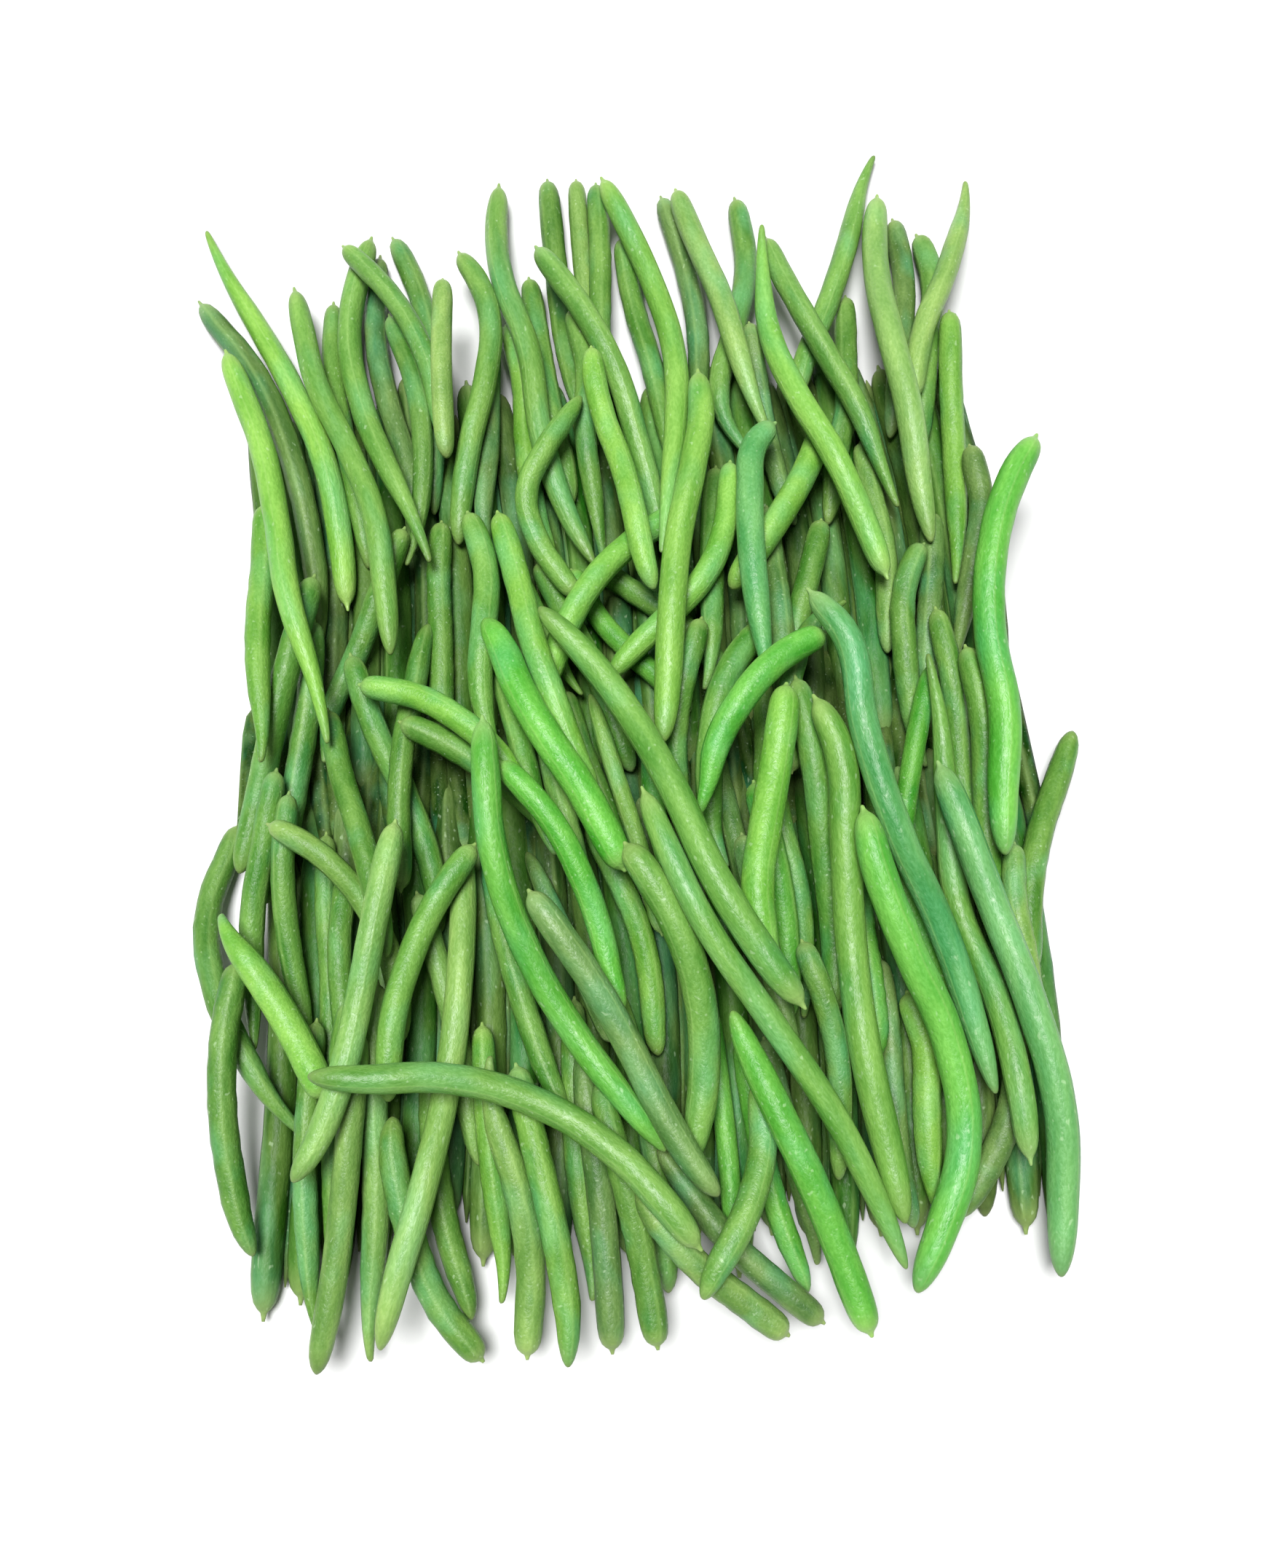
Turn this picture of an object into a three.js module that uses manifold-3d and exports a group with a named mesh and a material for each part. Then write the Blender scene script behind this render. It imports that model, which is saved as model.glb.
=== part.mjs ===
// A bundle of fresh green beans, laid lengthwise in a loose heap on a table.
//
// Every bean is a whole pod: a slim round bar with a blunt stem end and a long thin tail.
// Its path seen from above is a smooth curve through a few points. Its height comes from a
// rule: the pods are laid one after another, each slides a little to the side where it can
// lie lower, and then drapes over what is already there. The pods that are seen whole are
// solids of their own. The ones under them are joined, region by region, by small bridges
// at the places where they press together.
//
// Millimetres, +Z up. The origin is at the middle of the heap, on the table.

import * as THREE from 'three';
import Module from 'manifold-3d';

// ---- driving dimensions -------------------------------------------------------------

const HEAP_MIDDLE = [3.2, 39.3];     // the heap's middle in the coordinates of the pod lists
const TOUCH_GAP = 0.22;              // between two pods that lie on each other
const TABLE_TOUCH = 0.95;            // height of a pod's axis on the table, in radii
const FLAT_BELOW = 1.2;              // what is lower than this is pressed flat on the table
const BEND_OVER = 100;               // tightest bend of a pod over what carries it
const BEND_UNDER = 130;              // tightest bend of a pod into a dip
const SLIDE_TOP = 2;                 // how far an end of a top pod slides to the side
const SLIDE_LOW = 5;                 // the same for a pod further down
const SLIDE_COST = 0.05;             // a slide has to gain this much height per millimetre
const SAMPLE_STEP = 1.5;             // spacing of the points that test for contact
const BED_WIDTH = 10.4;              // pods of the lowest layer
const BED_PITCH = 11.6;              // from one of them to the next
const BED_LENGTH = 172;
const BED_BOW = 4;                   // how far their middles stand out to the side
const BRIDGE_MIN_RADIUS = 2.6;       // a bridge joins pods only where both are this thick
const BRIDGE_RADIUS = 0.8;           // from the middle of a bridge to its three edges
const BRIDGE_MAX_GAP = 2.5;          // the widest gap that a bridge may close

// Thickness of a pod from its stem end, 0, to the tip of its tail, 1, in full radii.
const POD_PROFILE = [
  [0, 0.38], [0.035, 0.80], [0.13, 1.0], [0.55, 1.0], [0.74, 0.96], [0.87, 0.78], [0.955, 0.45], [1, 0.15],
];

// Where the rings of the faceted pods lie, and how many sides they have.
const TOP_POD = { sides: 7, rings: [0, 0.035, 0.13, 0.30, 0.50, 0.70, 0.87, 1] };
const LOW_POD = { sides: 5, rings: [0, 0.08, 0.28, 0.52, 0.78, 1] };
const BED_POD = { sides: 5, rings: [0, 0.09, 0.45, 0.83, 1] };

// ---- skins --------------------------------------------------------------------------

const LIME = 0;
const GRASS = 1;
const LEAF = 2;
const PALE = 3;
const SAGE = 4;
const SEA = 5;
const SKIN_COLOURS = [0x78b043, 0x59ab3a, 0x63983e, 0x80a856, 0x5f8446, 0x549d5c];
const SKIN_ROUGHNESS = 0.45;

// ---- the pods -----------------------------------------------------------------------
//
// Each row is a pod: its skin, its width, and the points that it runs through on the
// table, x and y in turn, from the stem end to the tail. Rows are in the order of laying.

const LOWER_PODS = {
  back_left: [
    [SAGE, 9.0, -77, 231, -79, 194, -74, 159, -64, 115, -62, 90],
    [LEAF, 8.5, -101, 209, -100, 170, -92, 125, -86, 85],
    [SAGE, 9.5, -153, 214, -126, 170, -107, 112, -101, 52],
    [LEAF, 9.0, -77, 239, -68, 216, -62, 182, -60, 141, -63, 105],
    [LEAF, 8.0, -72, 193, -63, 153, -62, 120, -70, 80],
    [LEAF, 8.5, -66, 92, -76, 68, -86, 46, -95, 28, -99, 8],
    [LEAF, 9.0, -56, 100, -57, 70, -56, 42, -57, 10],
  ],
  left: [
    [LEAF, 9.0, -100, 62, -102, 30, -108, -4, -116, -40],
    [LEAF, 9.5, -98, 75, -106, 45, -117, 5, -126, -30],
    [LEAF, 9.0, -96, 45, -88, 17, -79, -5, -71, -30, -68, -55],
    [LEAF, 8.0, -80, -40, -76, 0, -68, 35, -63, 58],
    [LEAF, 9.0, -76, 12, -64, 7, -49, -2, -35, -11, -15, -32],
    [LEAF, 7.5, -107, -15, -107, -45, -105, -75, -108, -110],
    [LEAF, 8.0, -99, -30, -101, -60, -99, -88, -95, -125],
    [LEAF, 8.5, -121, 5, -123, -20, -125, -50, -120, -88],
    [LEAF, 8.0, -116, -5, -117, -30, -114, -60, -105, -95],
    [PALE, 8.0, -121, -20, -106, -28, -90, -44, -80, -62, -76, -90],
    [LEAF, 8.5, -104, 25, -98, -3, -90, -28, -82, -65],
    [LIME, 9.0, -118, 110, -117, 75, -116, 40, -112, 5],
    [LEAF, 9.0, -129, -6, -138, -40, -127, -80, -104, -118],
  ],
  front_left: [
    [LEAF, 9.0, -123, -60, -127, -98, -125, -128, -120, -152],
    [LEAF, 8.0, -108, -80, -112, -120, -112, -150, -111, -178],
    [LEAF, 7.0, -97, -75, -102, -110, -104, -145, -105, -167],
    [PALE, 9.0, -80, -70, -85, -105, -87, -140, -96, -184],
    [PALE, 8.0, -73, -40, -67, -62, -60, -95, -57, -130],
    [LEAF, 9.0, -58, -189, -71, -172, -80, -145, -85, -115],
    [LEAF, 8.5, -68, -100, -67, -135, -63, -159, -58, -175],
    [PALE, 8.5, -90, -85, -96, -127, -102, -160, -109, -186],
  ],
  front: [
    [LEAF, 8.5, -22, -78, -24, -110, -24, -135, -20, -172],
    [LIME, 8.0, -55, -85, -54, -125, -52, -150, -50, -171],
    [SAGE, 9.0, -19, -188, -19, -160, -20, -135, -24, -95],
    [LEAF, 9.0, -5, -188, -7, -168, -11, -142, -19, -108],
    [LEAF, 8.0, -4, -75, 2, -110, 5, -150, 5, -172],
    [GRASS, 7.0, 20, -85, 25, -115, 28, -136, 31, -165],
    [SAGE, 8.5, 55, -180, 41, -169, 25, -155, 5, -128],
    [PALE, 9.0, 36, -189, 24, -179, 9, -166, -8, -144],
    [PALE, 9.5, -45, -188, -43, -148, -49, -125, -55, -98],
    [LIME, 9.0, -44, -100, -37, -136, -33, -158, -31, -190],
  ],
  centre: [
    [PALE, 8.5, -30, 25, -27, -5, -24, -20, -16, -58],
    [LEAF, 8.5, -44, 55, -38, 25, -35, 5, -30, -35],
    [LEAF, 8.5, -22, 30, -12, -3, -4, -22, 8, -55],
    [LEAF, 9.0, -24, 82, -10, 50, -2, 32, 6, 0],
    [GRASS, 8.0, -12, 78, 1, 51, 9, 42, 28, 20],
    [LEAF, 8.5, -8, 76, 12, 61, 28, 48, 47, 22],
    [LEAF, 9.0, 40, 118, 36, 90, 33, 60, 30, 25],
    [SAGE, 8.0, 30, 20, 37, -12, 42, -35, 48, -65],
    [LIME, 8.5, -16, -20, -6, -45, 1, -70, 0, -100],
    [GRASS, 8.0, 8, 12, 7, -15, 10, -35, 20, -68],
    [LEAF, 8.5, 50, 32, 47, 0, 43, -25, 38, -62],
    [LEAF, 8.5, 38, 48, 29, 25, 24, 5, 24, -30],
    [PALE, 6.5, 6, -62, 1, -28, -4, -5, -10, 27],
    [LIME, 7.0, -32, 104, -29, 87, -23, 70, -16, 50, -8, 28],
    [SAGE, 7.0, -10, -96, -20, -65, -28, -42, -33, -27],
    [LEAF, 10.0, 50, 47, 39, 35, 30, 14, 26, -5, 27, -38],
    [LEAF, 8.5, -51, -20, -48, -50, -40, -85, -30, -118],
  ],
  back: [
    [PALE, 8.0, -5, 263, -5, 230, -4, 200, 0, 153],
    [SAGE, 9.0, 32, 252, 37, 226, 40, 196, 37, 153, 31, 120],
    [LEAF, 9.0, 3, 258, 3, 233, 2, 209, 0, 182, -3, 141],
    [LEAF, 9.5, -7, 264, -6, 230, -5, 200, -2, 164, 3, 130],
    [LEAF, 9.0, -17, 216, -15, 194, -13, 170, -9, 135, -4, 105],
    [LEAF, 8.5, -8, 190, -4, 159, -6, 130, -4, 105, -2, 82],
    [LEAF, 9.0, 12, 232, 14, 206, 20, 172, 24, 139, 27, 108],
    [SAGE, 8.5, -33, 186, -35, 162, -38, 130, -42, 105, -43, 82],
    [LIME, 9.0, -36, 190, -29, 159, -27, 130, -24, 108, -17, 80],
  ],
  back_right: [
    [LEAF, 9.5, 65, 249, 66, 224, 59, 188, 49, 164, 45, 144, 52, 118],
    [SAGE, 8.0, 58, 176, 63, 147, 67, 125, 76, 92],
    [LEAF, 9.0, 109, 193, 104, 164, 100, 141, 92, 118, 86, 90],
    [SAGE, 9.0, 134, 233, 135, 212, 132, 188, 126, 162, 118, 125],
    [LEAF, 9.5, 135, 225, 139, 207, 136, 187, 129, 157, 123, 120],
    [PALE, 8.5, 106, 125, 107, 105, 109, 85, 108, 62, 104, 38],
    [SAGE, 9.0, 123, 92, 118, 66, 113, 48, 107, 18],
    [LIME, 9.0, 136, 177, 132, 144, 130, 115, 127, 88, 124, 62],
    [LEAF, 9.0, 82, 92, 79, 78, 75, 65, 70, 45, 66, 15],
    [SAGE, 9.0, 62, 98, 60, 75, 59, 55, 56, 18],
    [SAGE, 9.0, 134, 116, 135, 92, 127, 62, 118, 33],
  ],
  right: [
    [LEAF, 9.0, 148, 106, 140, 87, 134, 70, 129, 50, 127, 20],
    [LEAF, 8.0, 54, -8, 58, 28, 65, 43, 78, 56],
    [LEAF, 8.5, 112, 50, 114, 36, 117, 12, 117, -15, 119, -50],
    [LEAF, 9.0, 117, 76, 109, 66, 104, 50, 102, 28, 101, -5],
    [LEAF, 8.0, 92, 35, 94, 20, 95, -2, 93, -22, 90, -55],
    [LEAF, 9.0, 124, 33, 125, 12, 124, -8, 120, -32, 118, -65],
    [LEAF, 9.5, 57, 22, 60, 0, 61, -30, 63, -58, 61, -92],
    [LEAF, 8.0, 54, -5, 57, -28, 61, -50, 62, -90],
    [GRASS, 9.0, 50, -12, 54, -38, 56, -60, 55, -92],
    [GRASS, 7.5, 93, -42, 99, -12, 103, 5, 110, 28],
    [LEAF, 9.0, 127, -80, 132, -50, 138, -33, 147, -16, 158, 5],
    [PALE, 8.0, 129, -38, 128, -55, 131, -78, 135, -108],
  ],
  front_right: [
    [SAGE, 8.5, 44, -30, 47, -52, 49, -70, 55, -105],
    [LEAF, 8.0, 50, -68, 58, -92, 61, -106, 60, -142],
    [SAGE, 8.0, 44, -95, 50, -126, 54, -145, 58, -166],
    [GRASS, 8.0, 34, -95, 38, -135, 42, -155, 49, -174],
    [SAGE, 7.5, 78, -72, 79, -105, 78, -130, 81, -158],
    [LIME, 9.5, 85, -84, 89, -106, 86, -126, 85, -154],
    [GRASS, 9.0, 78, -46, 79, -66, 81, -85, 82, -106],
    [SAGE, 9.0, 128, -112, 119, -131, 109, -144, 96, -156],
    [GRASS, 9.5, 88, -22, 99, -65, 106, -98, 105, -127],
  ],
};

const TOP_PODS = [
  [LIME, 9.5, -92, 68, -97, 117, -124, 188, -154, 247],
  [LEAF, 9.0, -113, 211, -102, 160, -80, 102, -73, 42],
  [LEAF, 9.5, -85, 234, -94, 195, -89, 153, -73, 107, -60, 78],
  [LEAF, 8.5, -96, 222, -80, 201, -69, 180, -62, 159, -58, 125],
  [LIME, 9.5, -138, 180, -119, 118, -111, 66, -96, 10],
  [LEAF, 9.0, -47, 220, -37, 194, -38, 164, -47, 130, -56, 90],
  [PALE, 8.0, -56, 198, -57, 160, -57, 119],
  [LEAF, 9.5, -34, 261, -35, 219, -23, 169, -17, 120, -3, 77],
  [LEAF, 9.5, -20, 214, -5, 185, 9, 150, 16, 118, 22, 86],
  [LEAF, 8.5, -11, 62, -24, 86, -27, 100, -18, 121, -3, 142],
  [LIME, 9.5, 30, 97, 10, 83, -6, 66, -18, 46, -26, 22],
  [LIME, 9.0, 0, 162, 1, 141, 7, 115, 11, 88, 14, 58],
  [LIME, 9.5, 8, 254, 26, 200, 31, 147, 24, 105, 20, 72],
  [LEAF, 9.0, 80, 144, 86, 162, 98, 187, 113, 228, 125, 267],
  [PALE, 9.5, 40, 248, 46, 221, 55, 179, 60, 150, 67, 124],
  [LEAF, 9.0, 73, 217, 82, 180, 95, 143, 104, 114, 107, 92],
  [LIME, 10.0, 86, 128, 79, 112, 67, 91, 57, 77, 44, 62],
  [LIME, 9.5, 99, 60, 91, 92, 78, 126, 70, 170, 73, 216],
  [PALE, 9.0, 122, 134, 129, 162, 143, 192, 163, 243],
  [PALE, 10.5, 125, 242, 118, 201, 116, 164, 119, 115, 121, 76],
  [GRASS, 11.0, 157, 109, 142, 86, 130, 50, 129, 0, 121, -43],
  [LEAF, 9.5, -46, 98, -41, 75, -43, 48, -46, 25, -43, 0],
  [LIME, 9.0, -86, 31, -66, 25, -45, 9, -26, -14],
  [LIME, 9.5, -39, 96, -33, 73, -26, 40, -17, 12, -8, -15],
  [LIME, 9.0, 51, 112, 46, 83, 32, 57, 18, 46, 0, 31],
  [LIME, 10.0, 38, 149, 37, 123, 27, 87, 19, 40, 15, 2],
  [LIME, 11.0, 60, 17, 55, -4, 47, -32, 42, -52, 43, -82],
  [SEA, 10.0, 69, 124, 62, 118, 56, 95, 54, 55, 55, 20],
  [LEAF, 10.5, 64, 12, 70, -4, 70, -40, 69, -95, 77, -156],
  [GRASS, 10.0, 75, 33, 62, 27, 47, 14, 34, -5, 29, -27],
  [SEA, 10.0, 65, 47, 77, 26, 79, -3, 89, -45, 103, -78, 109, -120],
  [GRASS, 11.0, 75, -28, 80, -60, 96, -100, 97, -140, 76, -175],
  [LEAF, 9.0, 120, -142, 118, -95, 109, -50, 110, -5, 108, 29],
  [SEA, 10.5, 109, -10, 117, -45, 127, -95, 131, -140, 123, -175],
  [GRASS, 8.5, -37, -4, -22, -24, -11, -51, -5, -86],
  [GRASS, 11.0, 2, -42, -10, -15, -27, 16, -38, 51],
  [GRASS, 9.5, -41, 10, -39, -45, -27, -80, -11, -107, 4, -131],
  [LEAF, 10.5, -2, -35, 9, -53, 19, -80, 20, -105, 14, -137],
  [LEAF, 8.5, 5, -18, 19, -59, 43, -100, 61, -131, 76, -170],
  [LEAF, 10.0, 50, -93, 30, -60, 11, -9, -7, 28, -26, 49],
  [SAGE, 9.5, -33, -49, -10, -87, 5, -120, 18, -146],
  [LEAF, 9.0, 38, -110, 35, -134, 24, -155, 11, -171],
  [GRASS, 10.0, 62, -188, 52, -154, 36, -112, 28, -90],
  [LIME, 10.0, -96, -106, -106, -88, -120, -67, -136, -48],
  [PALE, 9.0, -56, -24, -58, -70, -68, -127, -86, -180],
  [LEAF, 9.0, -48, -27, -62, -45, -76, -76, -82, -108],
  [PALE, 9.0, -75, -20, -84, -65, -95, -110, -105, -132],
  [LEAF, 9.5, 14, -161, -8, -132, -45, -108, -100, -103],
];

// The lowest layer: pods side by side, in rafts that fill the heap from below. For the
// region of each raft, the x and y of its middle, how far it leans to the side over a
// millimetre of its length, and how many pods it has.
const BEDS = {
  back_left: [-87, 86, -0.03, 8],
  back: [6, 88, -0.03, 8],
  back_right: [99, 86, -0.03, 8],
  front_left: [-81, -79, 0.02, 8],
  front: [6, -80, 0.02, 7],
  front_right: [93, -78, 0.02, 8],
};

// ---- plan curves --------------------------------------------------------------------

const CURVE_STEPS = 16;

function seededRandom(seed) {
  let state = seed;
  return () => {
    state = (state * 16807) % 2147483647;
    return state / 2147483647;
  };
}

// Straight-line interpolation in a rising list of places.
function valueAt(place, places, values) {
  let k = 1;
  while (k < places.length - 1 && places[k] < place) k += 1;
  const share = (place - places[k - 1]) / (places[k] - places[k - 1]);
  return values[k - 1] + (values[k] - values[k - 1]) * Math.min(Math.max(share, 0), 1);
}

// A point on the stretch from b to c of a smooth curve through a, b, c and d.
function curvePoint(a, b, c, d, t) {
  const before = Math.hypot(b[0] - a[0], b[1] - a[1]);
  const here = Math.hypot(c[0] - b[0], c[1] - b[1]);
  const after = Math.hypot(d[0] - c[0], d[1] - c[1]);
  return [0, 1].map((k) => {
    const bend = (b[k] - a[k]) / before - (c[k] - a[k]) / (before + here) + (c[k] - b[k]) / here;
    const next = (c[k] - b[k]) / here - (d[k] - b[k]) / (here + after) + (d[k] - c[k]) / after;
    return (2 * t ** 3 - 3 * t ** 2 + 1) * b[k] + (t ** 3 - 2 * t ** 2 + t) * bend * here
      + (3 * t ** 2 - 2 * t ** 3) * c[k] + (t ** 3 - t ** 2) * next * here;
  });
}

function planCurve(points) {
  const last = points.length - 1;
  const mirrored = (end, inner) => [2 * end[0] - inner[0], 2 * end[1] - inner[1]];
  const all = [mirrored(points[0], points[1]), ...points, mirrored(points[last], points[last - 1])];
  const curve = [];
  for (let i = 1; i <= last; i += 1) {
    for (let k = 0; k < CURVE_STEPS; k += 1) {
      curve.push(curvePoint(all[i - 1], all[i], all[i + 1], all[i + 2], k / CURVE_STEPS));
    }
  }
  curve.push(points[last]);
  return curve;
}

function distancesAlong(points) {
  const distances = [0];
  for (let i = 1; i < points.length; i += 1) {
    const step = Math.hypot(points[i][0] - points[i - 1][0], points[i][1] - points[i - 1][1]);
    distances.push(distances[i - 1] + step);
  }
  return distances;
}

function pointsAt(places, points, distances) {
  const xs = points.map((point) => point[0]);
  const ys = points.map((point) => point[1]);
  return places.map((place) => [valueAt(place, distances, xs), valueAt(place, distances, ys)]);
}

function podRadius(share, width) {
  const places = POD_PROFILE.map((pair) => pair[0]);
  const radii = POD_PROFILE.map((pair) => pair[1]);
  return valueAt(share, places, radii) * width / 2;
}

// ---- laying the pods ----------------------------------------------------------------

// The lowest that each point of a new pod may lie, over the table and the pods there.
function lowestHeights(points, radii, laid) {
  return points.map(([x, y], i) => {
    let lowest = radii[i] * TABLE_TOUCH;
    for (const other of laid) {
      const reach = radii[i] + other.r + TOUCH_GAP;
      const room = reach * reach - (x - other.x) ** 2 - (y - other.y) ** 2;
      if (room > 0) lowest = Math.max(lowest, other.z + Math.sqrt(room));
    }
    return lowest;
  });
}

// A bar of limited bend that hangs over those points: it is lifted over each of them by
// an arch, and the dips between the arches are then rounded off.
function drape(distances, lowest) {
  const arch = 2 * (BEND_OVER + BEND_UNDER);
  const dip = 2 * BEND_UNDER;
  const lifted = distances.map((here) => {
    let height = -Infinity;
    distances.forEach((there, i) => { height = Math.max(height, lowest[i] - (here - there) ** 2 / arch); });
    return height;
  });
  return distances.map((here) => {
    let height = Infinity;
    distances.forEach((there, i) => { height = Math.min(height, lifted[i] + (here - there) ** 2 / dip); });
    return height;
  });
}

// Heights of the rings, raised until the straight stretches between them clear everything.
function ringHeights(ringPlaces, places, lowest) {
  const draped = drape(places, lowest);
  const heights = ringPlaces.map((place) => valueAt(place, places, draped));
  const lift = heights.map(() => 0);
  places.forEach((place, i) => {
    let k = 1;
    while (k < ringPlaces.length - 1 && ringPlaces[k] < place) k += 1;
    const missing = lowest[i] - valueAt(place, ringPlaces, heights);
    const share = (place - ringPlaces[k - 1]) / (ringPlaces[k] - ringPlaces[k - 1]);
    const step = missing / ((1 - share) ** 2 + share ** 2);
    lift[k - 1] = Math.max(lift[k - 1], step * (1 - share));
    lift[k] = Math.max(lift[k], step * share);
  });
  return heights.map((height, k) => height + lift[k]);
}

// One way to lay a pod, with its two ends slid to the side.
function placePod(row, kind, slides, laid) {
  const [skin, width, ...flat] = row;
  const plan = [];
  for (let i = 0; i < flat.length; i += 2) plan.push([flat[i], flat[i + 1]]);
  const span = [plan.at(-1)[0] - plan[0][0], plan.at(-1)[1] - plan[0][1]];
  const size = Math.hypot(...span);
  const planPlaces = distancesAlong(plan);
  const slid = plan.map(([x, y], i) => {
    const share = planPlaces[i] / planPlaces.at(-1);
    const move = slides[0] * (1 - share) + slides[1] * share;
    return [x - span[1] / size * move, y + span[0] / size * move];
  });
  const curve = planCurve(slid);
  const curvePlaces = distancesAlong(curve);
  const ringPoints = pointsAt(kind.rings.map((share) => share * curvePlaces.at(-1)), curve, curvePlaces);
  const ringPlaces = distancesAlong(ringPoints);
  const length = ringPlaces.at(-1);
  const count = Math.ceil(length / SAMPLE_STEP);
  const places = Array.from({ length: count + 1 }, (_, i) => length * i / count);
  const points = pointsAt(places, ringPoints, ringPlaces);
  const radii = places.map((place) => podRadius(valueAt(place, ringPlaces, kind.rings), width));
  const lowest = lowestHeights(points, radii, laid);
  const heights = ringHeights(ringPlaces, places, lowest);
  const samples = points.map(([x, y], i) => ({
    x, y, z: valueAt(places[i], ringPlaces, heights), r: radii[i],
  }));
  const rings = ringPoints.map(([x, y], k) => ({ x, y, z: heights[k], r: podRadius(kind.rings[k], width) }));
  const mean = samples.reduce((sum, sample) => sum + sample.z, 0) / samples.length;
  return { skin, sides: kind.sides, rings, samples, mean };
}

// A pod slides to the side, one end or both, wherever that lets it lie lower.
function layPod(row, kind, reach, laid) {
  const xs = row.filter((_, i) => i >= 2 && i % 2 === 0);
  const ys = row.filter((_, i) => i >= 2 && i % 2 === 1);
  const margin = 2 * reach + 12;
  const near = laid.filter((other) => other.x > Math.min(...xs) - margin && other.x < Math.max(...xs) + margin
    && other.y > Math.min(...ys) - margin && other.y < Math.max(...ys) + margin);
  const steps = reach > 0 ? [0, -reach, -reach / 2, reach / 2, reach] : [0];
  let best = null;
  let bestCost = Infinity;
  for (const stem of steps) {
    for (const tail of steps) {
      const pod = placePod(row, kind, [stem, tail], near);
      const cost = pod.mean + SLIDE_COST * (Math.abs(stem) + Math.abs(tail));
      if (cost < bestCost - 1e-9) {
        best = pod;
        bestCost = cost;
      }
    }
  }
  return best;
}

// The pods of one raft: side by side on the table, their ends at slightly uneven places.
function raftRows([x, y, lean, count], random) {
  return Array.from({ length: count }, (_, i) => {
    const middle = x + (i - (count - 1) / 2) * BED_PITCH;
    const shift = y + (random() - 0.5) * 16;
    const half = BED_LENGTH / 2 - random() * 10;
    const points = [
      [middle - lean * half, shift - half], [middle + BED_BOW, shift], [middle + lean * half, shift + half],
    ];
    if (random() < 0.5) points.reverse();
    return [LEAF, BED_WIDTH, ...points.flat()];
  });
}

function layHeap() {
  const laid = [];
  const layRow = (row, kind, reach, region) => {
    const pod = layPod(row, kind, reach, laid);
    laid.push(...pod.samples);
    return { ...pod, region };
  };
  const random = seededRandom(11);
  const bed = Object.entries(BEDS)
    .flatMap(([region, raft]) => raftRows(raft, random).map((row) => layRow(row, BED_POD, 0, region)));
  const loose = Object.entries(LOWER_PODS)
    .flatMap(([region, rows]) => rows.map((row) => layRow(row, LOW_POD, SLIDE_LOW, region)));
  const top = TOP_PODS.map((row) => layRow(row, TOP_POD, SLIDE_TOP, 'top'));
  return { lower: [...bed, ...loose], top };
}

// ---- solids -------------------------------------------------------------------------

// The faceted skin of a pod: a ring of corners at each station, with a flat side down.
function podSkin(pod) {
  const { rings, sides } = pod;
  const axis = rings.map(({ x, y, z }) => new THREE.Vector3(x, y, z));
  const up = new THREE.Vector3(0, 0, 1);
  const corners = [];
  axis.forEach((centre, i) => {
    const ahead = axis[Math.min(i + 1, axis.length - 1)].clone().sub(centre).normalize();
    const behind = centre.clone().sub(axis[Math.max(i - 1, 0)]).normalize();
    const along = ahead.add(behind).normalize();
    const side = new THREE.Vector3().crossVectors(along, up).normalize();
    const rise = new THREE.Vector3().crossVectors(side, along);
    for (let k = 0; k < sides; k += 1) {
      const angle = Math.PI * ((2 * k + 1) / sides - 0.5);
      const corner = centre.clone();
      corner.addScaledVector(side, Math.cos(angle) * rings[i].r);
      corner.addScaledVector(rise, Math.sin(angle) * rings[i].r);
      if (corner.z < FLAT_BELOW) corner.z = 0;
      corners.push(corner.x - HEAP_MIDDLE[0], corner.y - HEAP_MIDDLE[1], corner.z);
    }
  });
  const faces = [];
  for (let i = 0; i < rings.length - 1; i += 1) {
    for (let k = 0; k < sides; k += 1) {
      const next = (k + 1) % sides;
      const [a, b] = [i * sides + k, i * sides + next];
      faces.push(a, b + sides, b, a, a + sides, b + sides);
    }
  }
  const tail = (rings.length - 1) * sides;
  for (let k = 1; k < sides - 1; k += 1) {
    faces.push(0, k, k + 1);
    faces.push(tail, tail + k + 1, tail + k);
  }
  return { corners, faces };
}

// A short three-sided bar from the axis of one pod to the axis of another.
function bridgeSkin(a, b) {
  const start = new THREE.Vector3(a.x, a.y, a.z);
  const along = new THREE.Vector3(b.x, b.y, b.z).sub(start);
  const steep = Math.abs(along.z) > 0.7 * along.length();
  const across = steep ? new THREE.Vector3(0, 1, 0) : new THREE.Vector3(0, 0, 1);
  const side = new THREE.Vector3().crossVectors(along, across).normalize();
  const rise = new THREE.Vector3().crossVectors(side, along).normalize();
  const corners = [];
  for (const far of [0, 1]) {
    for (const angle of [0, 1, 2].map((k) => Math.PI * (2 * k / 3 - 0.5))) {
      const corner = start.clone().addScaledVector(along, far);
      corner.addScaledVector(side, Math.cos(angle) * BRIDGE_RADIUS);
      corner.addScaledVector(rise, Math.sin(angle) * BRIDGE_RADIUS);
      corners.push(corner.x - HEAP_MIDDLE[0], corner.y - HEAP_MIDDLE[1], corner.z);
    }
  }
  return { corners, faces: [0, 1, 2, 3, 5, 4, 0, 4, 1, 0, 3, 4, 1, 5, 2, 1, 4, 5, 2, 3, 0, 2, 5, 3] };
}

const manifold = await Module();
manifold.setup();

function solid({ corners, faces }) {
  const mesh = { numProp: 3, vertProperties: new Float32Array(corners), triVerts: new Uint32Array(faces) };
  return new manifold.Manifold(new manifold.Mesh(mesh));
}

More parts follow.
